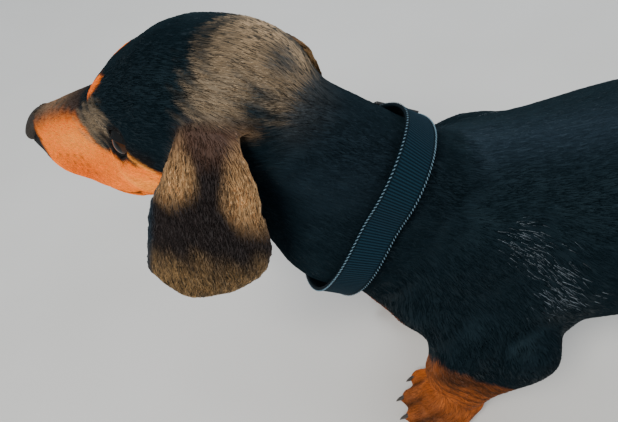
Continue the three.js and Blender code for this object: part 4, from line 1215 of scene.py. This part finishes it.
def set_camera():
    azimuth, elevation = (math.radians(CAMERA[key]) for key in ("azimuth", "elevation"))
    back = Vector((math.sin(azimuth) * math.cos(elevation), -math.cos(azimuth) * math.cos(elevation),
                   math.sin(elevation)))
    camera = linked("camera", bpy.data.cameras.new("camera"))
    turn = (-back).to_track_quat("-Z", "Y").to_matrix()
    turn = turn @ Matrix.Rotation(math.radians(CAMERA["roll"]), 3, "Z")
    place = WITHERS + AIM_FROM_WITHERS + back * CAMERA["distance"]
    camera.matrix_world = Matrix.Translation(place) @ turn.to_4x4()
    camera.data.lens = CAMERA["lens"]
    camera.data.clip_start = 0.01
    bpy.context.scene.camera = camera


def add_light(name, place, power, size, colour):
    light = bpy.data.lights.new(name, "AREA")
    light.energy, light.size, light.color = power, size, colour
    place = Vector(place)
    turn = (WITHERS + LIGHT_AIM - place).to_track_quat("-Z", "Y").to_matrix().to_4x4()
    linked(name, light).matrix_world = Matrix.Translation(place) @ turn


def make_stage():
    corners = FLOOR_HALF * np.array([[-1, -1, 0], [1, -1, 0], [1, 1, 0], [-1, 1, 0]])
    floor = mesh_from("floor", corners, np.array([[0, 1, 2, 3]]), smooth=False)
    finish = Finish("pale_floor", 0.9)
    stops = [(0.3, (0.60, 0.59, 0.565)), (0.7, (0.64, 0.63, 0.61))]
    finish.colour(finish.ramp(finish.noise(6, 2), stops))
    floor.data.materials.append(finish.material)
    world = bpy.data.worlds.new("world")
    world.use_nodes = True
    sky = world.node_tree.nodes["Background"].inputs
    sky["Color"].default_value = (0.80, 0.90, 1, 1)
    sky["Strength"].default_value = 0.5
    bpy.context.scene.world = world
    for name, light in LIGHTS.items():
        add_light(name, *light)


def main():
    set_camera()
    make_stage()
    skin_object, shares = make_skin()
    skin = Skin(skin_object, shares)
    set_colour(skin_object, skin.colours * (1 - 0.5 * skin.mixed[:, None]))
    finish_piece(skin_object, skin_material(), "coat_black", *FLESH)
    make_coats(skin)
    eye, lid = eye_material(), leather_material("eyelid", (0.004, 0.005, 0.006), 2200, 0.75)
    for name, side in SIDES.items():
        finish_piece(make_eye(name, side), eye, "eye", "eye_" + name)
        finish_piece(make_lids(name, side), lid, "nose_leather")
    nose = leather_material("nose_leather", (0.034, 0.028, 0.024), 950, 0.6)
    finish_piece(make_nose(), nose, "nose_leather", "nose")
    finish_piece(make_claws(), grained_material("claw_horn"), "nose_leather")
    band, webbing = Band(), webbing_material()
    finish_piece(make_webbing(band), webbing, "webbing", "collar_band")
    finish_piece(make_stitches(band), grained_material("stitching_thread"), "webbing")
    plastic, steel = grained_material("moulded_plastic"), grained_material("polished_steel")
    hardware = {"buckle": (plastic, 1.2), "slide": (plastic, 0.6), "keeper": (webbing, 1.0),
                "ring": (steel, 0.4)}
    for name, (material, width) in hardware.items():
        dress_node("collar_" + name, material, width)


main()
